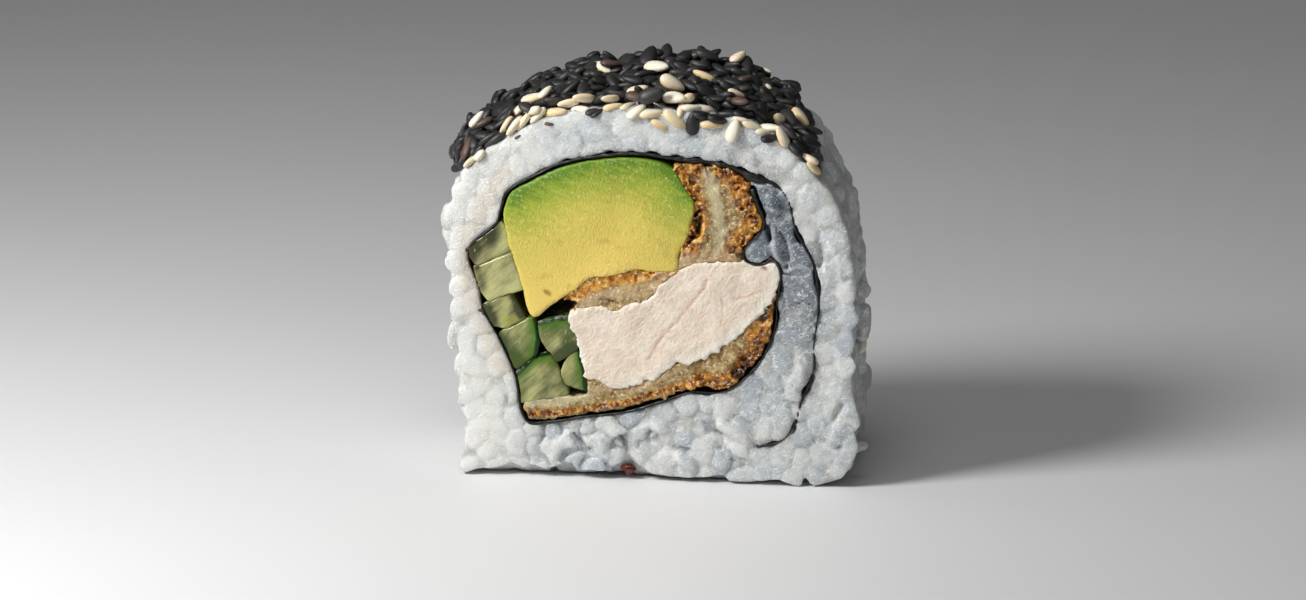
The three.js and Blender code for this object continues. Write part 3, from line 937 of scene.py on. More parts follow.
@dataclass(frozen=True)
class CrustFinish:
    """Fried batter: tan and glassy inside, amber and golden crumbs outside, with painted glints, and brown
    in its hollows, partly its own browning and partly painted shade.
    """

    pale: Colour = linear(207, 187, 138)
    inner: Colour = linear(168, 140, 90)
    glassy: Colour = linear(120, 87, 42)
    straw: Colour = linear(216, 158, 60)
    golden: Colour = linear(170, 102, 20)
    orange: Colour = linear(110, 52, 6)
    brown: Colour = linear(58, 26, 8)
    cream: Colour = linear(240, 200, 128)
    meat: Colour = linear(214, 184, 144)
    glass: Colour = linear(206, 196, 158)
    glint: Colour = linear(252, 246, 226)

    def make(self) -> Material:
        """Builds the material."""
        finish = Finish("fried_batter")
        fibres = finish.noise(0.9, 5.0, (1, 1, 1.3), (0, 0.3, 0), 0.6)
        patch = finish.noise(1.2, 5.0, warp=0.8)
        grit = finish.noise(0.36, 3.0, warp=0.5)
        crumbs = finish.noise(0.9, 4.0, warp=1.0)
        batter = finish.stops(fibres + (grit - 0.5) * 0.35, [
            (0.32, self.glassy), (0.5, self.inner), (0.7, self.pale)])
        fried = finish.stops(crumbs, [
            (0.3, self.brown), (0.4, self.orange), (0.5, self.golden), (0.62, self.straw)])
        light = finish.stops(crumbs, [
            (0.26, self.orange), (0.38, self.golden), (0.54, self.straw), (0.68, self.cream)])
        # Painted glints: white specks, where the roughness is also lower
        painted_glints = grit.rise(0.58, 0.68)
        colour = finish.layers(
            batter,
            ((finish.mark("browned") + (patch - 0.5) * 1.9).rise(0.1, 1.0), fried),
            ((finish.mark("gold") + (patch - 0.5) * 1.2).rise(0.2, 0.9), light),
            ((finish.mark("meat") + (fibres - 0.5) * 1.4).rise(0.3, 1.1) * 0.6, self.meat),
            ((finish.mark("glass") + (fibres - 0.5) * 1.4).rise(0.3, 1.1) * 0.75, self.glass),
            # The dark mark: the batter's own browning together with painted shade in the pockets and holes
            ((finish.mark("dark") + (patch - 0.5) * 1.2).rise(0.3, 1.0), self.brown),
            (painted_glints * 0.62, self.glint),
        )
        return finish.dress(
            Base_Color=colour, Roughness=patch * 0.5 - painted_glints * 0.1,
            Normal=finish.relief((crumbs, 0.12), (grit, 0.08)),
            Subsurface_Weight=0.3, Subsurface_Scale=0.0009, Subsurface_Radius=(1.0, 0.6, 0.25), IOR=1.45,
        )


@dataclass(frozen=True)
class CucumberFinish:
    """Cucumber: wet grey-green flesh with fine fibres, painted shade along some sides, dark green skin,
    yellowish seeds, and painted highlights and glints.
    """

    grey: Colour = linear(66, 68, 40)
    pale: Colour = linear(202, 199, 138)
    green: Colour = linear(74, 104, 14)
    skin: Colour = linear(10, 44, 4)
    under: Colour = linear(74, 120, 16)
    seedy: Colour = linear(180, 188, 52)
    # The colour of the painted highlights and glints
    wet: Colour = linear(206, 220, 196)

    def make(self) -> Material:
        """Builds the material."""
        finish = Finish("wet_cucumber")
        veins = finish.noise(2.4, 4.0, (1, 1, 1.8), (0, 0.4, 0))
        lines = finish.noise(0.34, 4.0, (1, 1, 8), (0, 0.85, 0), 0.3)
        # Painted shade along some sides of each stick darkens the flesh
        light = finish.mark("light") - finish.mark("dim") * 0.5
        flesh = (veins * 1.3 + lines * 0.5 + light).rise(0.54, 1.4)
        skin = finish.mark("skin") + (veins - 0.5) * 0.5
        # Painted highlights: a gleam along the top edge of the skin, and glints over the flesh
        painted_gleam = finish.mark("edge") * finish.noise(0.9, 3.0).rise(0.4, 0.6)
        painted_wet_glints = finish.noise(0.4, 3.0, (1, 1, 3), (0, 0.3, 0)).rise(0.66, 0.74)
        colour = finish.layers(
            finish.blend(flesh, self.grey, self.pale),
            (finish.mark("tint") * (1.3 - flesh) * 0.6, self.green),
            ((finish.mark("seedy") + (veins - 0.5) * 2.0).rise(0.3, 1.1) * 0.45, self.seedy),
            (skin.rise(0.0, 0.8) * 0.9, self.under),
            (skin.rise(0.74, 0.96), self.skin),
            ((painted_gleam * 0.22).larger(painted_wet_glints * 0.35), self.wet),
        )
        return finish.dress(
            Base_Color=colour, Roughness=finish.noise(0.8, 2.0) * 0.25 + 0.03,
            Normal=finish.relief((lines, 0.02)), Subsurface_Weight=0.35, Subsurface_Scale=0.0018, IOR=1.4,
        )


# Sub-assemblies


@dataclass
class RiceBody:
    """The rice as grains of true size that have stuck together, cut flat at the two faces."""

    step: float = 0.27
    middle_step: float = 0.5
    spacing: float = 2.5
    length: float = 5.3
    width: float = 3.0
    rim_inset: float = 1.15
    core_inset: float = 0.85
    most_triangles: int = 190000
    seed: int = 5
    # Hollows in the front face as (x, z, radius)
    pits: Points = (
        (-10.2, 5.4, 0.7), (-9.4, 4.6, 0.6), (0.4, 3, 0.4), (8, 7.7, 1), (9.2, 6.7, 0.7), (14.5, 44.8, 0.7),
        (4.2, 4.8, 0.4), (-3.4, 3, 0.8), (-3.3, 2.2, 1.1), (-14.2, 6.8, 0.5), (19.7, 27.4, 0.35),
        (13, 7.2, 0.6), (8.2, 8.2, 0.8), (25.2, 7.6, 0.5),
    )
    # Clefts between grains in the front face as (places, half width, depth)
    clefts: Sequence[tuple[Points, float, float]] = (
        (((15.4, 36), (15.9, 34.2), (16.2, 33), (16.3, 32)), 0.26, 1.6),
        (((13.6, 41.4), (14.3, 39.4), (15, 37.6)), 0.26, 1.4),
        (((17.2, 35.4), (18, 33.8), (18.4, 32.2), (18.2, 30.4)), 0.16, 0.7),
        (((16.9, 30.4), (18, 29.6), (19, 29.6)), 0.15, 0.5),
        (((14.6, 38.4), (16.2, 38.3), (18.2, 37)), 0.14, 0.3),
        (((17.8, 25.8), (19, 25.2), (20.4, 25.8), (21.6, 25.4)), 0.14, 0.3),
        (((17, 20.4), (18.6, 19.4), (19.4, 17.6)), 0.14, 0.35),
        (((25.6, 11.6), (24.8, 9.8), (24.6, 8), (25.4, 5.9)), 0.4, 1),
        (((22.6, 33.6), (22.9, 32.2), (22.6, 30.8)), 0.35, 1),
        (((-11, 6.2), (-9.8, 5), (-8.7, 3.9)), 0.3, 1.1), (((-4.6, 6.2), (-3.9, 4.8), (-3.3, 3)), 0.26, 1),
        (((7, 8.6), (8.4, 7.2), (10.6, 6.3)), 0.35, 0.9), (((8.6, 5.8), (10, 3.8), (12.6, 2.5)), 0.22, 0.5),
        (((2.8, 4.9), (4.2, 4.8), (5.2, 4.4)), 0.2, 0.5),
        (((-15.4, 8), (-15, 6.4), (-15.6, 4.8)), 0.22, 0.45),
        (((0.2, 8.4), (-0.8, 6.2), (-0.4, 4.4)), 0.2, 0.35),
        (((-20.8, 13.6), (-20, 11.6), (-20.4, 9.6)), 0.2, 0.3),
    )
    # Whole grains that stand out, as (one end, other end, radius)
    proud: Sequence[tuple[float, ...]] = (
        (9.4, -11.7, 8.4, 12.5, -11.7, 6.4, 1), (28.4, -6.4, 23.6, 28.2, -6.6, 20.2, 1.2),
        (25.9, -6.6, 4.4, 28.5, -7, 4.8, 0.85), (15.9, -11.5, 40.2, 16.3, -11.5, 39, 1.35),
        (20.2, -11.6, 16.3, 19.9, -11.6, 14.5, 1.15), (-28, -10.9, 36.9, -28.3, -10.9, 34.9, 0.95),
        (-27.2, -11, 20.6, -27.6, -10.9, 18.2, 1), (24.6, -11.4, 6.6, 25.6, -11.3, 9.2, 1.1),
        (3.6, -11.4, 3.6, 5.2, -11.4, 2.3, 1), (16.4, -11.5, 33.6, 17.2, -11.5, 31.9, 0.9),
        (-0.2, -11.3, 8.2, 1.4, -11.4, 7.6, 1), (-12.6, -11.4, 5.2, -13.8, -11.4, 3, 1),
        (-6.6, -11.4, 3.4, -7.6, -11.4, 5.6, 1.05),
    )
    # Light skins of single grains in the front face, as lines of (x, z)
    skins: Sequence[Points] = (
        ((13.6, 39.4), (14.5, 38.5), (15.6, 38.8), (16.7, 38.4), (18, 38.3)),
        ((14.8, 36.3), (15.9, 37), (17.2, 36.6), (18.6, 37.6)),
        ((16.3, 35.9), (16.3, 33.3), (17.1, 31.6), (18.3, 31.1), (18.7, 32.3), (18.3, 34.3)),
        ((17.5, 30), (18.9, 30.5), (20.1, 30.9), (21.5, 30.3)), ((20, 28.6), (20.8, 29.5), (21.6, 30.3)),
        ((18.4, 14.4), (19.9, 12.8), (21.2, 13.6), (21.6, 15.1), (21, 17), (20.2, 18.3), (18.8, 17.7)),
        ((18.6, 12.6), (19.7, 12.1), (19.9, 11), (19.3, 8.6), (17.5, 6.4), (15.5, 5.8), (14.2, 5.3)),
        ((8.6, 8.3), (9.6, 9.4), (12, 8), (13.3, 6.5), (12.9, 5.5), (11.4, 6), (9.2, 7.4), (8.6, 8.3)),
        ((-1.6, 7.5), (-0.4, 8.1), (0.8, 7.3), (0.7, 5.9), (-0.5, 5.2), (-1.6, 5.7)),
        ((0.3, 3.1), (1.5, 4.1), (3.2, 3.9), (3.7, 2.8)), ((4.1, 6.6), (5.6, 7.5), (7, 6.9), (7.3, 5.3)),
        ((25.3, 8.8), (26.6, 9.6), (27.9, 8.4), (28, 6.3), (26.6, 5.4), (25.4, 6.3)),
        ((23.5, 26.3), (24.6, 27.3), (25.7, 26.4), (25.8, 24.2), (24.9, 23)),
        ((22.8, 19.1), (24, 19.8), (25.2, 19), (25.2, 16.9)),
        ((20.7, 38.1), (22.1, 37.1), (22.7, 35.4), (21.6, 34.6), (20.1, 35.6)),
        ((23.7, 33.9), (25.1, 31.6), (25.1, 29.1)), ((-12.8, 5.4), (-11.7, 6.7), (-9.9, 6.5), (-9.2, 4.7)),
        ((-7.3, 6), (-5.8, 6.9), (-4.4, 5.7), (-4.7, 4)),
    )
    # Height of the front lower edge above the ground along X
    foot: Points = (
        (-27.5, 0), (-26.1, 0.1), (-24.8, 0.7), (-21.5, 1.1), (-19.7, 1.8), (-17.9, 1.1), (-16.7, 1.7),
        (-14.7, 1.1), (-12.9, 1.8), (-11.2, 2.1), (-10.6, 0.9), (-8.5, 1.3), (-5.9, 1), (-5.6, 1.8),
        (-4.2, 2.3), (-3.3, 3.4), (-2.3, 2.2), (-0.3, 1), (2.6, 0.6), (5.5, 0.6), (9.5, 1.1), (10.4, 0.4),
        (13.8, 0.4), (17.1, 0.9), (19.6, 0), (24, 0), (25.5, 0.6), (26.5, 2.4), (28, 4),
    )
    strip: Points = (
        (13.4, 41.6), (16.5, 41.8), (18, 40), (19.2, 35.6), (21.6, 31.1), (22.3, 25.1), (21.6, 19.3),
        (21.8, 16.8), (20, 12), (17.5, 9), (12, 13.5), (15, 17.8), (16.6, 22), (17.4, 29.2), (16.1, 31.8),
        (12.4, 31.5), (14.6, 35.4), (15.1, 36.8),
    )
    # Line along which the rice has taken up a cream colour
    stained: Points = ((-20, 42.5), (-22.5, 38), (-25.6, 32.5), (-25.4, 28), (-23.6, 22), (-20.5, 15))
    grid: Grid = field(init=False)
    # Flat distances from the outline, from the loop of the nori and from the nori itself
    roll: Array = field(init=False)
    wrap: Array = field(init=False)
    nori: Array = field(init=False)
    distance: Array = field(init=False)

    def __post_init__(self) -> None:
        """Lays out the box of samples and the flat distances that the body is made from."""
        across = face_axis(SLICE.half, self.step, self.middle_step, 1.8)
        self.grid = Grid(even_axis(-31.5, 31.5, self.step), across, even_axis(-0.9, 54.9, self.step))
        path = smooth_path(NORI_PATH, False)
        half = len(path) // 2
        end = np.argmin(np.hypot(*(path[half:] - WRAP_END).T)) + half
        self.roll = loop_distance(*self.grid.face, smooth_path(ROLL, True))
        self.wrap = loop_distance(*self.grid.face, path[: end + 1])
        self.nori = nori_clearance(*self.grid.face)

    def _flat(self, values: Array, places: Array) -> Array:
        """Looks up a flat distance near places."""
        i, k = (
            np.clip(np.searchsorted(axis, places[:, n]), 0, len(axis) - 1)
            for n, axis in ((0, self.grid.x), (2, self.grid.z)))
        return values[i, k]

    def _sites(self, random: Random) -> Array:
        """Middles of the grains, each kept a spacing away from the others."""
        reach = SLICE.half + 0.8
        tried = random.uniform((-29, -reach, 0.8), (29, reach, 52), (90000, 3))
        flatter = np.where(tried[:, 0] > 20, 0.3, 0.0)
        inside = self._flat(self.roll, tried) < -self.rim_inset - flatter
        tried = tried[inside & (self._flat(self.wrap, tried) > 0.5)]
        kept = np.empty((6000, 3))
        count = 0
        for place in tried:
            if count == 0 or ((kept[:count] - place) ** 2).sum(1).min() >= self.spacing**2:
                kept[count] = place
                count += 1
        return kept[:count]

    def _axis_of(self, place: Array, random: Random) -> Array:
        """A grain's direction: along the wall where it lies at one, and any way elsewhere."""
        direction = random.normal(size=3)
        if self._flat(self.roll, place[None])[0] > -2.4:
            step = 0.4
            beside = place + np.array([(step, 0, 0), (-step, 0, 0), (0, 0, step), (0, 0, -step)])
            right, left, top, low = self._flat(self.roll, beside)
            out = unit(np.array([right - left, 0, top - low]))
            direction -= 0.8 * (direction @ out) * out
        return unit(direction)

    def _stamp(self, sites: Array, random: Random) -> tuple[Array, Array, Array]:
        """Distances to the nearest and second nearest grain, and the nearest one's number."""
        shape = tuple(len(axis) for axis in self.grid.axes)
        first, second = np.full((2, *shape), 6.0, np.float32)
        number = np.zeros(shape, np.int16)
        # Each grain is bent by one of four fields of noise, so that no two are alike
        fields = [Noise(self.seed + n).layered(*self.grid.spread, 2.6) for n in range(4)]
        bends = [0.42 * values.astype(np.float32) for values in fields]
        for n, site in enumerate(sites):
            axis = self._axis_of(site, random)
            radius = self.width / 2 * random.uniform(0.86, 1.12)
            half = (self.length * random.uniform(0.85, 1.1)) / 2 - radius
            block, (x, y, z) = self.grid.block(site, half + radius + 1.0)
            along = np.clip(x * axis[0] + y * axis[1] + z * axis[2], -half, half)
            away = how_far(x - along * axis[0], y - along * axis[1], z - along * axis[2])
            value = away - radius * (1 - 0.14 * (along / half) ** 2) + bends[n % 4][block]
            old = first[block]
            closer = value < old
            second[block] = np.where(closer, old, np.minimum(second[block], value))
            number[block] = np.where(closer, n, number[block])
            first[block] = np.minimum(old, value)
        return first, second, number

    def _solve(self) -> tuple[Array, Array, Array]:
        """Works out the body's distance field.

        Returns:
            The distances to the nearest grain, how much further the next one is, and the nearest's number.
        """
        random = np.random.default_rng(self.seed)
        sites = self._sites(random)
        LOG.info("rice: %d grains", len(sites))
        first, second, number = self._stamp(sites, random)
        gap = second - first
        half = SLICE.half
        x, y, z = self.grid.spread
        side = np.sign(y)
        roll, wrap, nori = (flat[:, None, :] for flat in (self.roll, self.wrap, self.nori))
        waves = Noise(self.seed)
        bulge = 0.45 * waves.at(x, y, z, 5.0) * ramp(z, 1.5, 5.0)
        inset = self.core_inset * (0.3 + 0.7 * ramp(z, 1.0, 4.0)) - bulge
        inset = inset + 0.9 * ramp(waves.at(x, y, z * 0, 3.4), 0.35, 0.6) * (1 - ramp(z, 1.0, 3.0))
        bend = 0.2 * waves.at(x, y, z, 1.7)
        inset = inset + 1.5 * bend
        patches = waves.at(x, side * 9, z, 6.0)
        low = (1 - ramp(z, 8.5, 12.5)) * ramp(x, -19.0, -14.0) * (1 - ramp(x, 8.0, 17.0))
        rugged = np.clip(0.35 * ramp(patches, -0.1, 0.6) + low * ramp(patches, -0.7, 0.3), 0, 1)
        core = np.maximum(roll + inset, np.abs(y) - (half - 0.16 - 0.5 * rugged))
        body = smooth_min(core, smooth_min(first, second, 0.5), 0.5)
        # Each cut grain has a level and a tilt of its own, more so low down in the middle
        level = random.uniform(-1, 1, len(sites))[number] * (0.1 + 0.18 * rugged)
        tilts = random.uniform(-1, 1, (2, len(sites)))
        lean = tilts[0][number] * (x - sites[number, 0]) + tilts[1][number] * (z - sites[number, 2])
        lean = np.clip(lean * (0.04 + 0.08 * rugged), -0.2, 0.2)
        wave = patches * 0.24 + waves.at(x, side * 9, z, 2.6) * 0.14 + waves.at(x, side * 5, z, 1.2) * 0.06
        seams = dip(gap, 0.5)
        face = np.abs(y) - (half - 0.12 + wave + level + lean - (0.08 + 0.26 * rugged) * seams)
        for line, width, deep in self.clefts:
            face = face + np.where(y < 0, deep, 0) * self.grid.groove(line, width)
        body = smooth_max(body, face, 0.3)
        walls = 0.28 * seams * ramp(-np.abs(y), -half, 0.9 - half)
        body = body + walls * ramp(-first, -0.8, 0.0)
        ridges = waves.at(x * 0.3, y, z * 0.22, 1.3) * ramp(x, 18.0, 24.0) * (1 - ramp(z, 40.0, 46.0))
        body = body + 0.2 * ridges
        for px, pz, radius in self.pits:
            body = smooth_max(body, radius - how_far(x - px, y + half, z - pz), 0.3)
        # The upper front edge is pressed round
        high = ramp(z, 40.0, 47.0)
        round_edge = smooth_max(roll + 0.1, np.abs(y) - half, 2.6)
        body = smooth_max(body, round_edge * high - (1 - high) * 5, 0.3)
        for x1, y1, z1, x2, y2, z2, radius in self.proud:
            apart = (x - x1, y - y1, z - z1)
            way = np.array([x2 - x1, y2 - y1, z2 - z1])
            share = np.clip((apart[0] * way[0] + apart[1] * way[1] + apart[2] * way[2]) / (way @ way), 0, 1)
            away = how_far(*(one - share * step for one, step in zip(apart, way)))
            body = smooth_min(body, away - radius * (1 - 0.5 * (share - 0.5) ** 2) + bend, 0.12)
        drawn_back = 0.4 * ramp(waves.at(x, y, z, 1.5), 0.05, 0.6) * ramp(x, -20.0, -14.0)
        body = smooth_max(body, drawn_back - nori, 0.1)
        foot = np.interp(self.grid.x, *np.array(self.foot).T)[:, None, None] * (1 - ramp(y, -11.2, -8.8))
        body = smooth_max(body, foot - z, 0.3)
        body = np.maximum(body, 0.1 - wrap)
        self.distance = smooth_max(body, -0.06 - z, 0.25).astype(np.float32)
        return first, gap, number

    def _shade(self, places: Array) -> Array:
        """How much painted shade darkens the rice, standing also for the nori that shines through: most in
        the upper part of the inner strip.
        """
        near = loop_distance(places[:, 0], places[:, 2], np.asarray(self.strip))
        share = ramp(-near, -0.5, 0.5) * (0.12 + 0.88 * ramp(places[:, 2], 10.0, 37.0))
        return np.clip(share * 0.95 + 0.16 * ramp(-self._flat(self.nori, places), -1.4, -0.1), 0, 1)

    def _skin(self, places: Array) -> Array:
        """How near each place is to the light skin of a grain, from 0 to 1."""
        x, z = places[:, 0], places[:, 2]
        away = [path_distance(x, z, smooth_path(line, False, 0.4))[0] for line in self.skins]
        return ramp(-np.min(away, axis=0), -0.42, -0.08) * (places[:, 1] < 1 - SLICE.half)

    def _warm(self, places: Array) -> Array:
        """How cream-coloured the rice is."""
        away, _ = path_distance(places[:, 0], places[:, 2], smooth_path(self.stained, False))
        return 0.4 * ramp(-away, -2.2, -0.2)

    def _thinned(self, piece: Piece) -> None:
        """Merges faces in the hidden walls along the nori until the piece is small enough."""
        triangles = sum(len(face.vertices) - 2 for face in piece.data.polygons)
        places = corner_places(piece.data)
        hidden = (self._flat(self.nori, places) < 0.9) & (np.abs(places[:, 1]) < SLICE.half - 1.5)
        group = piece.vertex_groups.new(name="hidden")
        group.add(np.flatnonzero(places[:, 1] > -4).tolist(), 0.25, "REPLACE")
        group.add(np.flatnonzero(hidden).tolist(), 1.0, "REPLACE")
        thin = piece.modifiers.new("thin", "DECIMATE")
        thin.vertex_group = "hidden"
        thin.vertex_group_factor = 1.0
        thin.ratio = self.most_triangles / triangles
        plain_mesh(piece)
        piece.vertex_groups.clear()

    def build(self, material: Material) -> Piece:
        """Builds the rice piece.

        Args:
            material: Its finish.

        Returns:
            The piece, which replaces the CAD node.
        """
        first, gap, number = self._solve()
        places, faces, cells = self.grid.surface(self.distance)
        places = relaxed(places, faces)
        tones = np.random.default_rng(self.seed + 1).random(number.max() + 1)
        at = tuple(cells.T)
        piece = new_piece("rice_body", places, faces, {
            "grain": tones[number[at]], "inner": -first[at], "gap": gap[at],
            "shade": self._shade(places), "warm": self._warm(places), "skin": self._skin(places)})
        piece.data.materials.append(material)
        self._thinned(piece)
        LOG.info("rice: %d faces", len(piece.data.polygons))
        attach(piece, "root")
        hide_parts("rice")
        return piece


@dataclass(frozen=True)
class Mark:
    """A value kept with a piece's corners, which fades away from lines in the cut face."""

    name: str
    # Each line as (its places, how far out it is 1, how far out it is 0)
    lines: Sequence[tuple[Points, float, float]] = ()
    level: float = 0.0

    def over(self, x: Array, z: Array) -> Array:
        """The values over a grid of places in the cut face."""
        total = np.full(np.broadcast_shapes(x.shape, z.shape), self.level)
        for line, full, none in self.lines:
            path = np.asarray(line, float)
            if len(path) == 1:
                path = np.repeat(path, 2, axis=0)
            away, _ = path_distance(x, z, path)
            total = np.maximum(total, 1 - ramp(away, full, none))
        return total

    def on(self, places: Array) -> Array:
        """The values at places in millimetres."""
        return self.over(places[:, 0], places[:, 2])


def marks(**lines: Sequence[tuple[Points, float, float]]) -> tuple[Mark, ...]:
    """Marks with no level of their own, by name."""
    return tuple(Mark(name, told) for name, told in lines.items())


@dataclass(frozen=True)
class DepthMark:
    """The distance in millimetres from a line in the cut face, kept with a piece's corners."""

    name: str
    line: Array

    def on(self, places: Array) -> Array:
        """The distances at places in millimetres."""
        return path_distance(places[:, 0], places[:, 2], self.line)[0]


@dataclass(frozen=True)
class Rubble:
    """Crumbs stuck on, and bubbles broken open, along a line in the cut face."""

    line: Points
    count: int
    size: tuple[float, float] = (0.22, 0.55)
    spread: float = 0.5
    hollow: float = 0.35

    def balls(self, random: Random, depth: float) -> list[tuple[Array, float, bool]]:
        """Draws the balls as (middle, radius, whether it is a bubble), for both cut faces.

        Args:
            random: Where the numbers come from.
            depth: How far the cut face lies from the middle of the slice.

        Returns:
            The balls.
        """
        path = smooth_path(self.line, False, 0.2)
        drawn = []
        for side in (-1, 1):
            for _ in range(self.count):
                x, z = path[random.integers(len(path))] + random.normal(0, self.spread, 2)
                middle = np.array([x, side * (depth + random.uniform(-0.7, 0.15)), z])
                drawn.append((middle, random.uniform(*self.size), random.random() < self.hollow))
        return drawn


@dataclass
class CutPiece:
    """A piece of the filling that runs through the slice, with its form in the cut faces."""

    name: str
    outline: Points
    slot: str
    replaces: str
    set_back: float = 0.0
    swell: float = 0.0
    step: float = 0.3
    rounding: float = 0.3
    smooth: bool = True
    ragged: float = 0.0
    ragged_wave: float = 1.2
    nori_gap: float = 0.06
    gnawed: float = 0.0
    clear_of: Sequence[Points] = ()
    # Grooves in the front face as (places, half width, depth), and waves as (length, height)
    grooves: Sequence[tuple[Points, float, float]] = ()
    waves: Sequence[tuple[float, float]] = ()
    # Broken ground where the piece is browned, as (length, height)
    crags: Sequence[tuple[float, float]] = ()
    # Drips of batter over the nori at the front, as (x, z, radius)
    drips: Points = ()
    # Outlines of the neighbours that it grows up to
    beside: Sequence[Points] = ()
    tilt: tuple[float, float] = (0.0, 0.0)
    rubble: Sequence[Rubble] = ()
    marks: Sequence[Mark | DepthMark] = ()
    seed: int = 1

    def _depth(self, grid: Grid, noise: Noise, middle: Array) -> Array:
        """How far each place lies outside the two cut faces."""
        x, y, z = grid.spread
        depth = np.abs(y) - (SLICE.half - self.set_back)
        depth = depth + self.tilt[0] * (x - middle[0]) + self.tilt[1] * (z - middle[1])
        for wave, height in self.waves:
            depth = depth + height * noise.at(x, np.sign(y) * 9, z, wave)
        for wave, height in self.crags:
            share = self.marks[0].over(*grid.face)[:, None, :]
            depth = depth + share * height * (np.abs(noise.at(x, y, z, wave)) * 2.4 - 0.7)
        for line, width, deep in self.grooves:
            depth = depth + np.where(y < 0, deep, deep * 0.3) * grid.groove(line, width)
        return depth

    def _stamped(self, grid: Grid, body: Array) -> Array:
        """The body with its crumbs added and its bubbles taken away."""
        random = np.random.default_rng(self.seed + 100)
        for rubble in self.rubble:
            for middle, radius, hollow in rubble.balls(random, SLICE.half - self.set_back):
                block, apart = grid.block(middle, radius + 0.5)
                ball = how_far(*apart) - radius
                if hollow:
                    body[block] = smooth_max(body[block], -ball, 0.08)
                elif (body[block] < 0).any():
                    body[block] = smooth_min(body[block], ball, 0.1)
        return body

    def build(self, material: Material) -> Piece:
        """Builds the piece.

        Args:
            material: Its finish.

        Returns:
            The piece, which replaces its CAD node.
        """
        loop = smooth_path(self.outline, True, 0.4) if self.smooth else np.asarray(self.outline, float)
        wide, tall = (even_axis(places.min() - 1.6, places.max() + 1.6, self.step) for places in loop.T)
        grid = Grid(wide, face_axis(SLICE.half, self.step * 0.8, 1.1, 1.6), tall)
        x, y, z = grid.spread
        noise = Noise(self.seed)
        side = loop_distance(*grid.face, loop)[:, None, :] - self.swell
        if self.ragged:
            side = side + self.ragged * noise.layered(x, y, z, self.ragged_wave)
        body = smooth_max(side, self._depth(grid, noise, loop.mean(0)), self.rounding)
        body = self._stamped(grid, body)
        gnawed = self.gnawed * ramp(noise.at(x, y, z, 0.8), 0.0, 0.5)
        body = np.maximum(body, self.nori_gap + gnawed - nori_clearance(*grid.face)[:, None, :])
        for other in self.clear_of:
            away = loop_distance(*grid.face, smooth_path(other, True, 0.4))
            body = np.maximum(body, 0.05 - away[:, None, :])
        for other in self.beside:
            away = loop_distance(*grid.face, np.asarray(other, float))
            body = smooth_max(body, (side + self.swell - away[:, None, :]) / 2, 0.05)
        for dx, dz, radius in self.drips:
            body = smooth_min(body, how_far(x - dx, y + SLICE.half - 0.2, z - dz) - radius, 0.25)
        places, faces, _ = grid.surface(body)
        places, faces = largest_part(relaxed(places, faces), faces)
        piece = new_piece(self.name, places, faces, {mark.name: mark.on(places) for mark in self.marks})
        piece.data.materials.append(material)
        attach(piece, "root")
        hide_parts(self.replaces)
        LOG.info("%s: %d faces", self.name, len(faces))
        return piece


@dataclass
class NoriSheet:
    """The nori, a thin sheet along its spiral path, with crinkled and frayed edges."""

    half_width: float = 11.92
    fray: float = 0.4
    crinkle: float = 0.14
    step: float = 0.3
    rows: int = 44

    def _tree(self, material: Material, steps: int) -> ShapeGraph:
        """The tree that sweeps a sheet along the path that comes in.

        Args:
            material: The sheet's finish.
            steps: Number of places along the path.

        Returns:
            The tree, whose inputs are sizes in metres.
        """
        graph = ShapeGraph("nori_sheet")
        half = graph.given("Half width")
        curve = graph.add("GeometryNodeMeshToCurve", {0: graph.source["Geometry"]})
        flat = graph.add("GeometryNodeMeshGrid", {
            "Size X": 1.0, "Size Y": half * 2.0, "Vertices X": steps, "Vertices Y": self.rows})
        along, across, _ = graph.parts(graph.add("GeometryNodeInputPosition")[0])
        sample = graph.add("GeometryNodeSampleCurve", {
            "Curves": curve[0], "Value": graph.kept("thick"), "Factor": along + 0.5,
        }, mode="FACTOR", data_type="FLOAT")
        way_x, _, way_z = graph.parts(sample["Tangent"])
        x, _, z = graph.parts(sample["Position"])
        wave = (graph.noise(0.0028, x, across, z) - 0.5) * 2.0
        rough = graph.noise(0.0011, x, across, z)
        side = across / half
        width = across - side * side**6.0 * (rough - 0.35) * graph.given("Fray") * 2.0
        push = wave * graph.given("Crinkle") - sample["Value"] * 0.5
        place = graph.vector(x - way_z * push, width, z + way_x * push)
        kept = graph.add("GeometryNodeStoreNamedAttribute", {
            "Geometry": flat[0], "Name": "thick", "Value": sample["Value"] * (0.5 + rough * rough * 1.8),
        }, data_type="FLOAT", domain="POINT")
        sheet = graph.add("GeometryNodeSetPosition", {0: kept[0], "Position": place})
        shell = graph.add("GeometryNodeExtrudeMesh", {
            "Mesh": sheet[0], "Offset Scale": graph.kept("thick"), "Individual": False}, mode="FACES")
        other = graph.add("GeometryNodeFlipFaces", {0: sheet[0]})
        both = graph.add("GeometryNodeJoinGeometry")
        for part in (shell, other):
            graph.feed(both.node.inputs[0], part[0])
        merged = graph.add("GeometryNodeMergeByDistance", {0: both[0], "Distance": 1e-6})
        graph.end(merged[0], material)
        return graph

    def build(self, material: Material) -> Piece:
        """Builds the nori piece.

        Args:
            material: Its finish.

        Returns:
            The piece, which replaces the CAD node.
        """
        path = smooth_path(NORI_PATH, False, self.step)
        shares, sizes = np.array(NORI_THICKNESS).T
        thick = np.interp(np.linspace(0, 1, len(path)), shares, sizes) * MM
        points = [(x * MM, 0.0, z * MM) for x, z in path]
        mesh = new_mesh("nori_sheet", points, [(n, n + 1) for n in range(len(points) - 1)])
        keep(mesh, "thick", thick)
        piece = linked("nori_sheet", mesh)
        self._tree(material, len(path)).run(piece, {
            "Half width": self.half_width * MM, "Fray": self.fray * MM, "Crinkle": self.crinkle * MM})
        piece.data.vertices.foreach_set("co", SLICE.in_frame(corner_places(piece.data)).ravel())
        face_outwards(piece)
        LOG.info("nori: %d faces", len(piece.data.polygons))
        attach(piece, "root")
        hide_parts("nori")
        return piece


@dataclass
class Seed:
    """One sesame seed in its place."""

    kind: SeedKind
    middle: Array
    turn: Array
    size: float
    tone: float


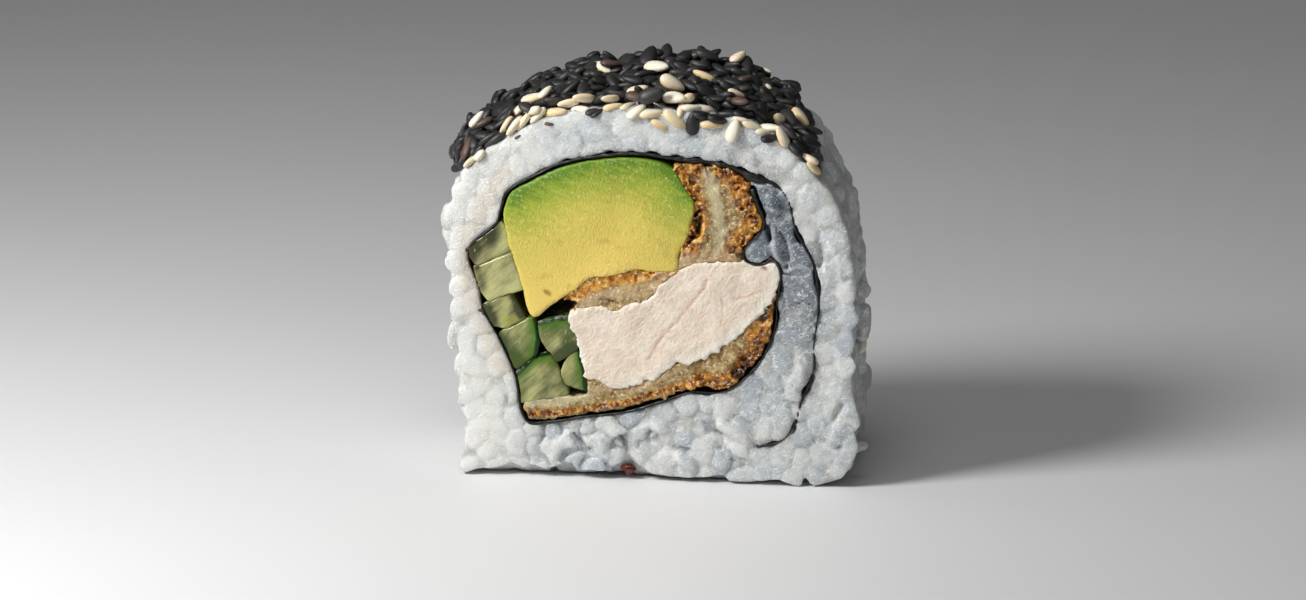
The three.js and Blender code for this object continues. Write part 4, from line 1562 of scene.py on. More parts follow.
@dataclass
class SeedLayer:
    """Sesame seeds dropped one after another over the top of the rice."""

    rice: RiceBody
    length: float = 3.4
    width: float = 2.0
    thickness: float = 1.15
    seed: int = 21
    cell: float = 0.25
    highest: float = 56.2
    # Height of the unrolled top where nothing lies under it
    bare: float = -2.5
    white: float = 0.015
    toasted: float = 0.015
    # How the line of sight runs back: across and up for each millimetre of depth
    sight: tuple[float, float] = (-0.14, -0.252)
    # Where the bed begins and ends, front and back, as shares of the outline's length
    right_end: tuple[float, float] = (0.503, 0.547)
    left_end: tuple[float, float] = (0.782, 0.806)
    # How far the seeds may pile up over the outline, as (share of its length, millimetres)
    pile: Points = (
        (0.5, 1.3), (0.567, 1.3), (0.577, 2), (0.6, 2), (0.61, 2.9), (0.627, 2.1), (0.649, 2.1),
        (0.668, 1.4), (0.686, 2.2), (0.7, 1.5), (0.7135, 1.3), (0.733, 1.6), (0.75, 2.3), (0.763, 3.2),
        (0.779, 3.3), (0.8, 2.8), (0.83, 1.8),
    )
    # Seeds where they are seen, as (x, z, turn in degrees, how flat they face the view, size)
    front: Sequence[tuple[SeedKind, Points]] = (
        (SeedKind.WHITE, (
            (-23.7, 44.7, 60, 0.1, 0.55), (-22.6, 46, 65, 0.2, 0.7), (-20.4, 48.4, 42, 0.1, 0.95),
            (-18.5, 48.9, 24, 0.1, 0.9), (-15.9, 50.1, 18, 0.1, 1.05), (-13.3, 51, 4, 0.1, 1.15),
            (-11.5, 51.8, 8, 0.1, 1), (-9.8, 51.5, -3, 0.2, 0.9), (-5.4, 52, 12, 0.15, 0.85),
            (-3.4, 52.1, 22, 0.2, 0.85), (-2.2, 51.5, 38, 0.25, 0.95), (-0.3, 51.3, 8, 0.25, 1),
            (0.9, 49.8, -30, 0.2, 0.8), (1.2, 52.2, -30, 0.2, 0.95), (3, 50.6, -38, 0.25, 1.12),
            (3.7, 51.7, 75, 0.1, 0.85), (5.3, 52.2, 0, 0.1, 0.9), (7.3, 52, -8, 0.1, 1.15),
            (7.9, 50, -3, 0, 0.9), (10.9, 49.2, 72, 0.8, 0.98), (11.9, 50.8, -10, 0.1, 0.7),
            (13.4, 50, -22, 0.3, 0.95), (15.2, 49.2, 4, 0.05, 1.12), (16, 49.8, -6, 0.1, 1),
            (18.2, 50.3, 20, 0.3, 0.6), (17.6, 49.2, -20, 0.1, 0.9), (18.9, 47.8, -38, 0.1, 1.15),
            (18.7, 48.5, -40, 0.1, 1.1), (20.1, 48.1, -48, 0.15, 1), (21.1, 48.4, -50, 0.1, 1.1),
            (10.1, 52.4, -10, 0.1, 0.7), (28.8, 20.3, 80, 0.4, 0.8),
        )),
        (SeedKind.BLACK, (
            (-8.3, 51.2, 20, 0.5, 0.55), (-7.6, 51.1, 35, 0.2, 0.6), (-14.5, 52, 20, 0.4, 0.7),
            (6.8, 51.2, -6, 0.2, 0.95), (8.8, 50.7, -12, 0.2, 1), (10.3, 51.5, -3, 0.3, 1),
            (12.2, 51.3, -18, 0.2, 0.9), (5.4, 50.2, 86, 0.9, 1), (15.7, 48.3, 15, 0.4, 0.8),
            (22.3, 47.1, -20, 0.3, 0.6), (22.9, 46, -50, 0.5, 0.65), (2.6, 52.7, 0, 0.5, 0.7),
            (-0.8, 52.4, -20, 0.5, 0.8), (14.7, 51.3, -14, 0.3, 1.1), (17.8, 52, -35, 0.4, 1),
            (-20.8, 50, 35, 0.4, 1), (-23.4, 47.9, 40, 0.4, 1),
        )),
        (SeedKind.TOASTED, (
            (-14.1, 49.4, -10, 0.1, 0.4), (-18.4, 47.5, 30, 0.1, 0.3), (-18.6, 49.3, 30, 0.1, 0.4),
            (-23.4, 23.3, 8, 0.1, 0.4),
        )),
    )
    # Seeds that lie on top of the others, likewise
    late: Sequence[tuple[SeedKind, Points]] = (
        (SeedKind.WHITE, (
            (-17.8, 51.2, 52, 0.3, 0.9), (-16.2, 52.5, 14, 0.4, 1.05), (-14.5, 53.4, 48, 0.35, 0.85),
            (-23.9, 49.5, 50, 0.3, 0.85), (-6.6, 56.9, -35, 0.6, 0.95), (0.9, 57.3, -5, 0.5, 1.2),
            (2.7, 55.4, -28, 0.5, 1.1), (3.1, 53.3, -8, 0.5, 1.1), (12.4, 59, 38, 0.4, 0.9),
            (11.4, 54, -20, 0.4, 0.75), (20.4, 51, -55, 0.4, 1.1), (16.6, 57.2, -30, 0.3, 0.4),
            (16.5, 54.9, -50, 0.3, 0.45),
        )),
        (SeedKind.BLACK, (
            (6.3, 59.4, 10, 0.4, 1), (8, 59.1, -20, 0.5, 1), (5, 59, 30, 0.5, 1),
            (13.4, 57.8, 85, 0.8, 1.1), (-17.1, 51.3, -40, 0.6, 0.75), (18.9, 50.8, -55, 0.8, 1.05),
            (-0.1, 53.7, 20, 0.8, 1.1), (-0.1, 58.6, 70, 0.9, 1.2), (2.3, 59.2, 80, 0.9, 1),
        )),
        (SeedKind.TOASTED, (
            (13.2, 56, 12, 0.3, 0.75), (11.9, 53, -10, 0.5, 0.8), (-5.6, 57.5, -5, 0.3, 0.85),
            (-25.3, 45.5, 75, 0.3, 1), (5.3, 60.6, -30, 0.4, 0.5), (-2.3, 53.5, -20, 0.4, 0.8),
        )),
    )
    # Layers over the whole bed as (number, spacing, least depth)
    layers: Sequence[tuple[int, float, float]] = (
        (210, 1.8, -8.9), (190, 1.85, -8.5), (150, 1.95, -7.6), (110, 2, -6), (90, 2.1, -3),
    )
    # The unrolled top: its lengths, depths, places and directions
    total: float = field(init=False)
    s: Array = field(init=False)
    y: Array = field(init=False)
    base: Array = field(init=False)
    along: Array = field(init=False)
    out: Array = field(init=False)
    # Places under a seed that its height is read from
    foot: tuple[Array, Array] = field(init=False)

    def _base(self) -> None:
        """Unrolls the outline: places, directions along and outwards, at even lengths."""
        loop = smooth_path(ROLL, True, 0.25)
        steps = np.linalg.norm(np.roll(loop, -1, axis=0) - loop, axis=1)
        self.total = steps.sum()
        lengths = np.concatenate([[0], np.cumsum(steps)[:-1]])
        low = min(self.right_end) * self.total - 3
        high = max(self.left_end) * self.total + 3
        self.s = np.arange(low, high, self.cell)
        self.y = np.arange(-SLICE.half - 1.5, SLICE.half + 1.5, self.cell)
        self.base = np.stack([np.interp(self.s, lengths, loop[:, k]) for k in (0, 1)], axis=1)
        along = np.gradient(self.base, axis=0)
        self.along = along / np.linalg.norm(along, axis=1)[:, None]
        self.out = np.stack([self.along[:, 1], -self.along[:, 0]], axis=1)

    def _in_rice(self, places: Array) -> Array:
        """Which places lie inside the rice."""
        return self.rice.grid.sample(self.rice.distance, places) < 0

    def _cell(self, lengths: Array, axis: Array) -> Array:
        """The number of the sample on an axis of the unrolled top that is nearest to each length."""
        return np.clip(((lengths - axis[0]) / self.cell).round().astype(int), 0, len(axis) - 1)

    def _heights(self) -> Array:
        """How far the rice reaches above the outline, over the unrolled top."""
        heights = np.full((len(self.s), len(self.y)), self.bare)
        for rise in np.arange(-2.4, 1.0, 0.1):
            spot = self.base + self.out * rise
            x, y, z = np.broadcast_arrays(spot[:, :1], self.y, spot[:, 1:])
            places = np.stack([x.ravel(), y.ravel(), z.ravel()], axis=1)
            heights = np.where(self._in_rice(places).reshape(heights.shape), rise, heights)
        return heights

    def _ends(self, y: float) -> tuple[float, float]:
        """Where the bed begins and ends at a depth."""
        share = (y + SLICE.half) / (2 * SLICE.half)
        low, high = (a + (b - a) * share for a, b in (self.right_end, self.left_end))
        return low * self.total, high * self.total

    def _settle(
        self, heights: Array, spot: Array, turn: float, size: float, tip: Array, limit: float = 9.0
    ) -> Seed | None:
        """Lays a seed on what is under it, and raises the heights by it.

        Args:
            heights: The heights so far.
            spot: Where its middle is, as (length, depth).
            turn: Its direction, as an angle from the outline.
            size: Its size against the usual one.
            tip: Slopes to tip it by.
            limit: How far over the outline it may reach.

        Returns:
            The seed, or None where it would have nothing under it or reach too high.
        """
        u, v = self.foot
        cos, sin = math.cos(turn), math.sin(turn)
        du, dv = (u * cos - v * sin) * size, (u * sin + v * cos) * size
        i = self._cell(spot[0] + du, self.s)
        j = self._cell(spot[1] + dv, self.y)
        under = heights[i, j]
        solid = under > self.bare + 0.1
        if solid.mean() < 0.45:
            return None
        terms = np.stack([u, v, np.ones_like(u)], axis=1)[solid]
        slopes = np.clip(np.linalg.lstsq(terms, under[solid], rcond=None)[0][:2], -0.7, 0.7) + tip
        plane = slopes[0] * u + slopes[1] * v
        lift = np.percentile((under - plane)[solid], 72)
        if lift + self.thickness * size * 0.9 > limit:
            return None
        dome = np.sqrt(np.clip(1 - (2 * u / self.length) ** 2 - (2 * v / self.width) ** 2, 0, 1))
        np.maximum.at(heights, (i, j), plane + lift + self.thickness * size * (0.3 + 0.6 * dome))
        k = int(np.clip((spot[0] - self.s[0]) / self.cell, 0, len(self.s) - 1))
        tangent, outward, middle = (
            np.array([flat[k, 0], depth, flat[k, 1]])
            for flat, depth in ((self.along, 0), (self.out, 0), (self.base, spot[1])))
        across = np.array([0.0, 1.0, 0.0])
        long = tangent * cos + across * sin + outward * slopes[0]
        wide = -tangent * sin + across * cos + outward * slopes[1]
        middle = middle + outward * (lift + self.thickness * size * 0.4)
        return Seed(SeedKind.BLACK, middle, self._frame(long, wide, outward), size, 0.5)

    def _frame(self, long: Array, wide: Array, up: Array) -> Array:
        """A turn from a seed's length and width, with its flat side up."""
        long = unit(long)
        wide = unit(wide - (wide @ long) * long)
        flat = np.cross(long, wide)
        if flat @ up < 0:
            wide, flat = -wide, -flat
        return np.stack([long, wide, flat], axis=1)

    def _covered(self, places: Array, heights: Array | None) -> Array:
        """Which places lie inside the rice, or under the seeds where heights are given."""
        solid = self._in_rice(places)
        if heights is None:
            return solid
        apart = places[:, None, [0, 2]] - self.base[None]
        k = np.square(apart).sum(2).argmin(1)
        above = (apart[np.arange(len(places)), k] * self.out[k]).sum(1)
        there = heights[k, self._cell(places[:, 1], self.y)]
        return solid | ((above < there) & (there > self.bare + 0.1) & (above > -3))

    def _seen(
        self, kind: SeedKind, told: Sequence[float], tone: float, heights: Array | None = None
    ) -> Seed | None:
        """A seed laid where a line of sight through the front face first meets something.

        Args:
            kind: The seed's kind.
            told: Where the line of sight crosses the front face in x and z, then the seed's turn as
                seen in degrees, how flat it faces the view from 0 to 1, and its size.
            tone: Its tone.
            heights: The heights of the seeds below it, or None for bare rice.

        Returns:
            The seed, or None where the line of sight meets nothing.
        """
        x, z, degrees, facing, size = told
        depths = np.arange(-1.0, 2 * SLICE.half, 0.06)
        found = []
        for dx, dz in ((0, 0), (0.7, 0), (-0.7, 0), (0, 0.7), (0, -0.7)):
            across, down = (
                start + step + slope * depths for start, step, slope in zip((x, z), (dx, dz), self.sight))
            line = np.stack([across, depths - SLICE.half, down], axis=1)
            solid = self._covered(line, heights)
            if not solid.any() and not found:
                return None
            found.append(line[solid.argmax()] if solid.any() else found[0] + np.array([dx, 0, dz]))
        normal = unit(np.cross(found[1] - found[2], found[3] - found[4]))
        sight = unit(np.array([self.sight[0], 1.0, self.sight[1]]))
        if normal @ sight > 0:
            normal = -normal
        turn = math.radians(degrees)
        level = unit(np.cross(sight, (0, 0, 1)))
        above = np.cross(level, sight)
        seen = math.cos(turn) * level + math.sin(turn) * above
        across = math.cos(turn) * above - math.sin(turn) * level
        slope = (seen @ normal) / min(sight @ normal, -0.2)
        long = seen - float(np.clip(slope, -0.8, 0.8)) * sight
        up = across * (1 - facing) - sight * facing + normal * 0.3
        middle = found[0] + normal * self.thickness * (0.35 * facing - 0.05 if heights is None else 0.3)
        return Seed(kind, middle, self._frame(long, np.cross(up, long), up), size, tone)

    def _raise(self, heights: Array, seed: Seed) -> None:
        """Raises the heights where a listed seed has been laid."""
        apart = seed.middle[[0, 2]] - self.base
        k = int(np.square(apart).sum(1).argmin())
        above = float(apart[k] @ self.out[k])
        around = (self.s[:, None] - self.s[k]) ** 2 + (self.y[None, :] - seed.middle[1]) ** 2 < 1.1**2
        heights[around] = np.maximum(heights[around], above + self.thickness * 0.4)

    def _front_seeds(self, random: Random, heights: Array) -> list[Seed]:
        """The seeds of the front edge, each where it is told, then two rows along the front."""
        made = []
        for kind, rows in self.front:
            made += [self._seen(kind, told, random.random()) for told in rows]
        made = [seed for seed in made if seed]
        for seed in made:
            self._raise(heights, seed)
        taken = [seed.middle for seed in made]
        # Rows as (depth, spacing, share of white ones)
        for y, apart, white in ((-10.9, 2.3, 0.8), (-9.8, 2.0, 0.3)):
            low, high = self._ends(y)
            for place in np.arange(low + random.uniform(0, 1), high, apart):
                spot = np.array([place + random.normal(0, 0.6), y + random.normal(0, 0.3)])
                turn, size = random.normal(0, 0.75), random.uniform(0.82, 1.02)
                seed = self._settle(heights, spot, turn, size, random.normal(0, 0.22, 2))
                chance, tone = random.random(2)
                if seed and min(np.linalg.norm(seed.middle - one) for one in taken) >= 1.5:
                    seed.kind = SeedKind.WHITE if chance < white else SeedKind.BLACK
                    seed.tone = tone
                    made.append(seed)
        return made

    def _layer(
        self, random: Random, heights: Array, wanted: int, apart: float, nearest: float
    ) -> list[Seed]:
        """One layer of seeds over the bed.

        Args:
            random: Where the numbers come from.
            heights: The heights so far, which the seeds raise.
            wanted: How many seeds are dropped.
            apart: How far they are kept from each other.
            nearest: The least depth.

        Returns:
            The seeds that came to rest.
        """
        shares, limits = np.array(self.pile).T
        made = []
        spots: list[Array] = []
        for _ in range(wanted * 14):
            if len(spots) == wanted:
                break
            y = random.uniform(nearest, SLICE.half - 0.4)
            spot = np.array([random.uniform(*self._ends(y)), y])
            if spots and (np.square(np.array(spots) - spot).sum(1)).min() < apart**2:
                continue
            spots.append(spot)
            turn, size = random.uniform(0, 2 * math.pi), random.uniform(0.86, 1.1)
            limit = np.interp(spot[0] / self.total, shares, limits)
            seed = self._settle(heights, spot, turn, size, random.normal(0, 0.26, 2), limit)
            chance, tone = random.random(2)
            if seed and SLICE.in_frame(seed.middle[None])[0, 2] <= self.highest * MM:
                rare = SeedKind.WHITE if chance < self.white else SeedKind.TOASTED
                seed.kind = rare if chance < self.white + self.toasted else SeedKind.BLACK
                seed.tone = tone
                made.append(seed)
        return made

    def _drop(self) -> list[Seed]:
        """Drops the seeds: the front ones, then the layers, then the ones on top of them."""
        random = np.random.default_rng(self.seed)
        self._base()
        heights = self._heights()
        u, v = np.meshgrid(np.linspace(-0.5, 0.5, 9), np.linspace(-0.5, 0.5, 7), indexing="ij")
        inside = (u * 2) ** 2 + (v * 2) ** 2 <= 1.05
        self.foot = (u[inside] * self.length, v[inside] * self.width)
        made = self._front_seeds(random, heights)
        for layer in self.layers:
            made += self._layer(random, heights, *layer)
        for kind, rows in self.late:
            for told in rows:
                seed = self._seen(kind, told, random.random(), heights)
                if seed:
                    self._raise(heights, seed)
                    made.append(seed)
        return made

    def _shape(self) -> Piece:
        """One seed: a plump flat teardrop, its point along +X, with a mark along its rim."""
        rings, sides = 7, 8
        places, faces, rim = [], [], []
        for r in range(rings):
            u = -math.cos(math.pi * (r + 0.6) / (rings + 0.2))
            reach = math.sqrt(max(1 - abs(u) ** 2.3, 0)) * (1 - 0.24 * u) / 1.03
            for k in range(sides):
                angle = 2 * math.pi * (k + 0.5) / sides
                wide, high = math.cos(angle), math.sin(angle)
                flat = abs(high) ** 0.85 * math.copysign(1, high) * reach**0.8
                sizes = (self.length, self.width, self.thickness)
                places.append([share * size / 2 for share, size in zip((u, wide * reach, flat), sizes)])
                rim.append(abs(wide) ** 3)
        tips = len(places)
        places += [(-self.length / 2, 0, 0), (self.length / 2, 0, 0)]
        rim += [1.0, 1.0]
        for r in range(rings - 1):
            for k in range(sides):
                a, b = r * sides + k, r * sides + (k + 1) % sides
                faces.append((a, b, b + sides, a + sides))
        last = (rings - 1) * sides
        for k in range(sides):
            faces.append((tips, (k + 1) % sides, k))
            faces.append((tips + 1, last + k, last + (k + 1) % sides))
        mesh = new_mesh("seed_shape", [tuple(c * MM for c in p) for p in places], [], faces)
        keep(mesh, "rim", rim)
        return linked("seed_shape", mesh)

    def _tree(self, material: Material) -> ShapeGraph:
        """The tree that puts a seed on each point that comes in."""
        graph = ShapeGraph("seeds_on_rice")
        shape = graph.add("GeometryNodeObjectInfo", {"Object": graph.given("Seed", "NodeSocketObject")})
        size = graph.kept("size") * graph.given("Scale")
        placed = graph.add("GeometryNodeInstanceOnPoints", {
            "Points": graph.source["Geometry"], "Instance": shape["Geometry"],
            "Rotation": graph.kept("turn", "QUATERNION"), "Scale": size})
        graph.end(placed[0], material)
        return graph

    def build(self) -> None:
        """Builds one piece for each kind of seed, with all of its seeds in place."""
        shape = self._shape()
        seeds = self._drop()
        for kind in SeedKind:
            name = kind.value[0] + "s"
            own = [seed for seed in seeds if seed.kind is kind]
            mesh = new_mesh(name, SLICE.in_frame(np.array([seed.middle for seed in own])).tolist())
            turns = [tuple(Matrix(seed.turn.tolist()).to_quaternion()) for seed in own]
            keep(mesh, "turn", turns, "QUATERNION")
            for key in ("size", "tone"):
                keep(mesh, key, [getattr(seed, key) for seed in own])
            piece = linked(name, mesh)
            self._tree(SeedFinish(kind).make()).run(piece, {"Seed": shape, "Scale": 1.0})
            LOG.info("%s: %d seeds", name, len(own))
            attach(piece, "root")
            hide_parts("rice")
        bpy.data.objects.remove(shape)


class Filling:
    """Avocado, chicken, crust and cucumber sticks."""

    def _avocado(self) -> CutPiece:
        """The avocado wedge, with its depth under the green side kept for its colour."""
        green_side = smooth_path(AVOCADO[1:9], False, 0.4)
        bruise = ((((-14.7, 26.2), (-14.2, 25.9)), 0.15, 0.5),)
        return CutPiece(
            "avocado_wedge", AVOCADO, "avocado", "avocado", swell=0.15, rounding=0.15, ragged=0.14,
            waves=((5, 0.15),), marks=(DepthMark("depth", green_side), *marks(bruise=bruise)), seed=31)

    def _chicken(self) -> CutPiece:
        """The piece of meat, with a crease across it and a torn right edge."""
        crease = ((7.4, 28.6), (7, 27.4), (5.4, 25.4), (3.7, 23.1), (2, 21.2), (0.6, 19.4), (-0.6, 17.2))
        small = ((11.0, 25.9), (12.6, 26.3), (14.6, 27.4))
        return CutPiece(
            "chicken_piece", CHICKEN, "chicken", "chicken", swell=0.12, step=0.22, rounding=0.12,
            ragged=0.5, ragged_wave=0.8, waves=((4.0, 0.18), (1.7, 0.1), (0.8, 0.05)),
            grooves=((crease, 0.16, 0.14), (small, 0.14, 0.06)),
            marks=marks(
                crease=((crease, 0, 0.3), (small, 0, 0.22)),
                spot=((((14.9, 30.5), (15.3, 30.4)), 0.1, 0.4),),
                fringe=((CHICKEN[10:18], 0.4, 1.8), (CHICKEN[17:21], 0.2, 1.2), (CHICKEN[23:], 0.2, 1)),
            ),
            seed=32)

    def _crusts(self) -> list[CutPiece]:
        """The three parts of the fried crust, crumbly along the sides where they were crumbed."""
        left = ((3.4, 43.6), (4.6, 41.3), (5.6, 39), (5.8, 37), (5.2, 34.6), (4.6, 32.8))
        right = (
            (6.4, 44.2), (9.6, 43.8), (11.4, 42.8), (12.5, 41), (13, 39.2), (14, 37.4), (13.4, 35.6),
            (12.2, 34.2), (11.6, 32.4),
        )
        upper = (
            (-11.8, 25.6), (-10.4, 26.6), (-8.8, 28.2), (-5.6, 29.3), (-2, 29.7), (0.4, 29.4), (2.6, 30.2),
        )
        under = (
            (-16.8, 8.9), (-14.2, 9.1), (-10, 9.7), (-4.3, 10.8), (1.2, 12.6), (5, 13.9), (6.6, 14.2),
            (8.6, 13.8), (10.4, 14.4), (11.4, 15.4), (12.6, 17), (14.2, 18.8), (15.3, 21.4), (15.9, 24),
            (16, 25.8),
        )
        drips = (
            (4.1, 13.4, 0.35), (5.2, 13.5, 0.5), (6.4, 13.9, 0.45), (8.7, 13.7, 0.35), (-1.8, 9.9, 0.35),
            (-4.3, 9, 0.35), (-7.1, 8, 0.35), (-10.6, 7, 0.35), (1.6, 11.9, 0.4), (-3.2, 9.4, 0.3),
        )
        shared = {
            "step": 0.2, "gnawed": 0.45, "crags": ((1.1, 0.34), (0.55, 0.2)), "clear_of": (AVOCADO, CHICKEN)}
        # The dark marks lie in the pockets and holes of the cut face: the batter's own browning with painted
        # shade.
        return [
            CutPiece(
                "crust_upper_batter", CRUST_UPPER, "crust", "crust_upper", 0.2, 0.1, ragged=0.3,
                waves=((3, 0.3), (1, 0.12)), seed=33, **shared,
                grooves=((((5.9, 38), (6.1, 36.4), (5.7, 34.8), (4.7, 33.6)), 0.5, 1.8),),
                rubble=(Rubble(left, 160, (0.14, 0.34)), Rubble(right, 200, (0.14, 0.36), 0.6)),
                marks=marks(
                    browned=((left, 0.5, 2.6), (right, 0.7, 3)),
                    dark=(
                        (((5.9, 37.4), (6, 35.2), (5, 34)), 0.1, 0.7),
                        (((11, 43.9), (12.8, 42.8)), 0.1, 0.9)),
                    glass=((((7.3, 43.2), (8.6, 39.7), (9.1, 34.8), (8.8, 33)), 0.3, 1.7),),
                    gold=(
                        (((6.6, 37.2), (6.6, 35.4), (5.9, 33.8)), 0.2, 0.9),
                        (((10.9, 33.4), (12.8, 36.2)), 0.2, 0.9)),
                    meat=(
                        (((3.4, 31), (7.5, 31.6), (11.2, 31.8)), 0.3, 2.2),
                        (((8.2, 42.6), (8.6, 37)), 0.1, 1.2)),
                )),
            CutPiece(
                "crust_middle_batter", CRUST_MIDDLE, "crust", "crust_middle", 0.25, 0.15, ragged=0.25,
                waves=((3, 0.3), (1, 0.12)), seed=34, **shared,
                grooves=((((-7, 25.3), (-4.8, 24.7)), 0.3, 0.4),),
                rubble=(Rubble(upper, 150, (0.14, 0.34), 0.4),),
                marks=marks(
                    browned=((upper, 0.4, 2.4),),
                    dark=((((-8.8, 28.1), (-7.6, 28.7)), 0.1, 0.6), (((-6.6, 25.2), (-5.4, 24.9)), 0, 0.2)),
                    gold=((((-11.4, 25.6), (-8.8, 27.2), (-5.6, 28.4), (-1, 29)), 0.7, 1.7),),
                    meat=((((-9.4, 24.6), (-5, 26.2), (-1, 26.6), (2, 29.2)), 0.5, 1.6),),
                )),
            CutPiece(
                "crust_lower_batter", CRUST_LOWER, "crust", "crust_lower", 0.25, 0.1, ragged=0.3,
                ragged_wave=1.1, waves=((3, 0.3), (1.4, 0.1)), seed=35, drips=drips, **shared,
                grooves=((((6, 15.8), (6.4, 14.8)), 0.3, 0.4), (((11, 15.8), (12.4, 17.8)), 0.6, 0.8)),
                rubble=(Rubble(under, 480, (0.1, 0.26), 0.34),),
                marks=marks(
                    browned=((under[:7], 0, 0.9), (under[6:], 0.5, 2.4)),
                    dark=(
                        (((11.2, 15.2), (12.8, 17.2)), 0.2, 0.9), (((15.6, 25.2), (14.9, 23.2)), 0.1, 1.1)),
                    glass=((((-16.7, 10.7), (-12.8, 11.2), (-9.3, 12.1)), 0.5, 1.6),),
                    gold=((((13.2, 21), (14.4, 23)), 0.3, 1.2), (((5, 13.4), (6.2, 13.6)), 0.2, 0.7)),
                    meat=((((-8.4, 12.8), (-3, 12.8), (1.4, 14.8), (4, 16)), 0.1, 0.9),),
                )),
        ]

    def _sticks(self) -> list[CutPiece]:
        """The cucumber sticks, each with its own skin, tint and tilt."""
        # Each as (name, set-back, corners, skin's line, how green, how light, seedy places, tilt, sides
        # with painted shade), where a shaded side is (places, how far out it is darkest, how far out it
        # ends)
        told = (
            (
                "upper", 0.2, ((-25.4, 31.6), (-20.9, 35.2), (-18.9, 31.8), (-23.9, 29.5)), (), 0, 0.16, (),
                (0.02, 0.03), ((((-25.4, 31.4), (-22.2, 34.2)), 0.3, 2.6),),
            ),
            (
                "tall", 0.12, ((-24.2, 29.2), (-19, 31.5), (-17.7, 26.7), (-22.4, 24.7), (-24, 26.8)), (),
                0.1, 0.27, (), (0, -0.02), ((((-24.2, 28.8), (-23.6, 26.4)), 0.2, 1.7),),
            ),
            (
                "middle", 0.4, ((-23.4, 23.6), (-19.7, 25.5), (-17.8, 22.1), (-19.9, 20.9), (-22.4, 21.4)),
                (), 0.25, 0.06, ((-20.2, 21.9), (-19, 22)), (0.05, 0),
                ((((-23.4, 23.4), (-22.4, 21.6)), 0.2, 1.8), (((-19.2, 25.2), (-18, 22.6)), 0.1, 0.9)),
            ),
            (
                "left", 0.3,
                (
                    (-21.4, 19.4), (-20, 20.5), (-17.8, 21.8), (-16.2, 22), (-15.8, 19.6), (-16.3, 17.1),
                    (-18.8, 15.4),
                ),
                ((-16, 22), (-15.5, 19.6), (-16.1, 16.9)), 0.5, 0.04, (), (-0.05, 0.03),
                ((((-21.2, 19.2), (-18.8, 15.6)), 0.3, 2.3),),
            ),
            (
                "right", 0.15,
                ((-15.6, 21.6), (-11.7, 22.5), (-10.5, 19.3), (-10.9, 18), (-13.4, 16.5), (-15.4, 20)),
                ((-15.8, 21.9), (-11.6, 22.8)), 0.7, 0.04, (), (0.02, -0.05),
                ((((-13.4, 16.6), (-11, 18.2)), 0.2, 1.6),),
            ),
            (
                "lower", 0.3,
                (
                    (-18.7, 14.4), (-16.5, 16.7), (-14.2, 17.4), (-12.8, 14.1), (-12, 12), (-15.4, 11.2),
                    (-18.2, 10.8),
                ),
                ((-18.9, 14.6), (-16.5, 17), (-14.2, 17.7)), 0.5, 0.08, (), (0, 0.05), (),
            ),
            (
                "corner", 0.4,
                ((-10.8, 17.6), (-9.9, 17), (-9.2, 12.6), (-12, 13.4), (-12.5, 14.4), (-11.9, 16)),
                ((-9.8, 17.4), (-9, 12.2)), 0.8, 0.2, (), (0.06, 0), (),
            ),
        )
        sticks = []
        for n, (name, back, corners, skin, tint, light, seedy, tilt, dark) in enumerate(told):
            sticks.append(CutPiece(
                f"cucumber_{name}_stick", corners, "cucumber", f"cucumber_{name}", back, swell=0.42,
                step=0.24, rounding=0.08, smooth=False, ragged=0.1, clear_of=(AVOCADO, CHICKEN), tilt=tilt,
                waves=((2.5, 0.1),), beside=tuple(row[2] for row in told if row[0] != name), seed=41 + n,
                marks=(
                    Mark("skin", ((skin, 0.1, 1.9),) if skin else ()),
                    Mark("tint", ((skin, 1.0, 5.5),) if skin else (), tint * 0.5),
                    Mark("light", level=light),
                    # Painted shade along the stick's dark sides
                    Mark("dim", dark),
                    # Where a painted highlight runs along the skin's top edge
                    Mark("edge", ((skin[:2], 0.15, 0.4),) if name in ("right", "lower") else ()),
                    Mark("seedy", ((seedy, 0.3, 1.1),) if seedy else ()),
                )))
        return sticks

    def build(self) -> None:
        """Builds every piece of the filling."""
        self._avocado().build(AvocadoFinish().make())
        self._chicken().build(ChickenFinish().make())
        batter = CrustFinish().make()
        wet = CucumberFinish().make()
        for crust in self._crusts():
            crust.build(batter)
        for stick in self._sticks():
            stick.build(wet)


@dataclass(frozen=True)
class SauceBead:
    """A bead of red-brown sauce that has run out under the front edge."""

    # Its balls as (x, y, z, radius)
    balls: Sequence[tuple[float, ...]] = (
        (-4.2, -11.3, 1.7, 0.4), (-3.5, -11.3, 1.6, 0.5), (-2.8, -11.2, 1.5, 0.4), (-3.5, -10.4, 1.2, 0.8),
    )
    dark: Colour = linear(56, 12, 4)
    red: Colour = linear(122, 34, 10)

    def build(self) -> None:
        """Builds the bead."""
        grid = Grid(even_axis(-6.0, -1.4, 0.15), even_axis(-13.0, -9.0, 0.15), even_axis(-0.3, 3.3, 0.15))
        x, y, z = grid.spread
        body = np.full(np.broadcast_shapes(x.shape, y.shape, z.shape), 9.0)
        for bx, by, bz, radius in self.balls:
            body = smooth_min(body, how_far(x - bx, y - by, z - bz) - radius, 0.3)
        places, faces, _ = grid.surface(smooth_max(body, 0.03 - z, 0.1))
        finish = Finish("brown_sauce")
        colour = finish.blend(finish.noise(0.6, 3.0).rise(0.4, 0.6), self.dark, self.red)
        piece = new_piece("sauce_bead", places, faces)
        piece.data.materials.append(finish.dress(
            Base_Color=colour, Roughness=finish.noise(0.5, 2.0) * 0.2, Subsurface_Weight=0.2,
            Subsurface_Scale=0.0005))
        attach(piece, "root")


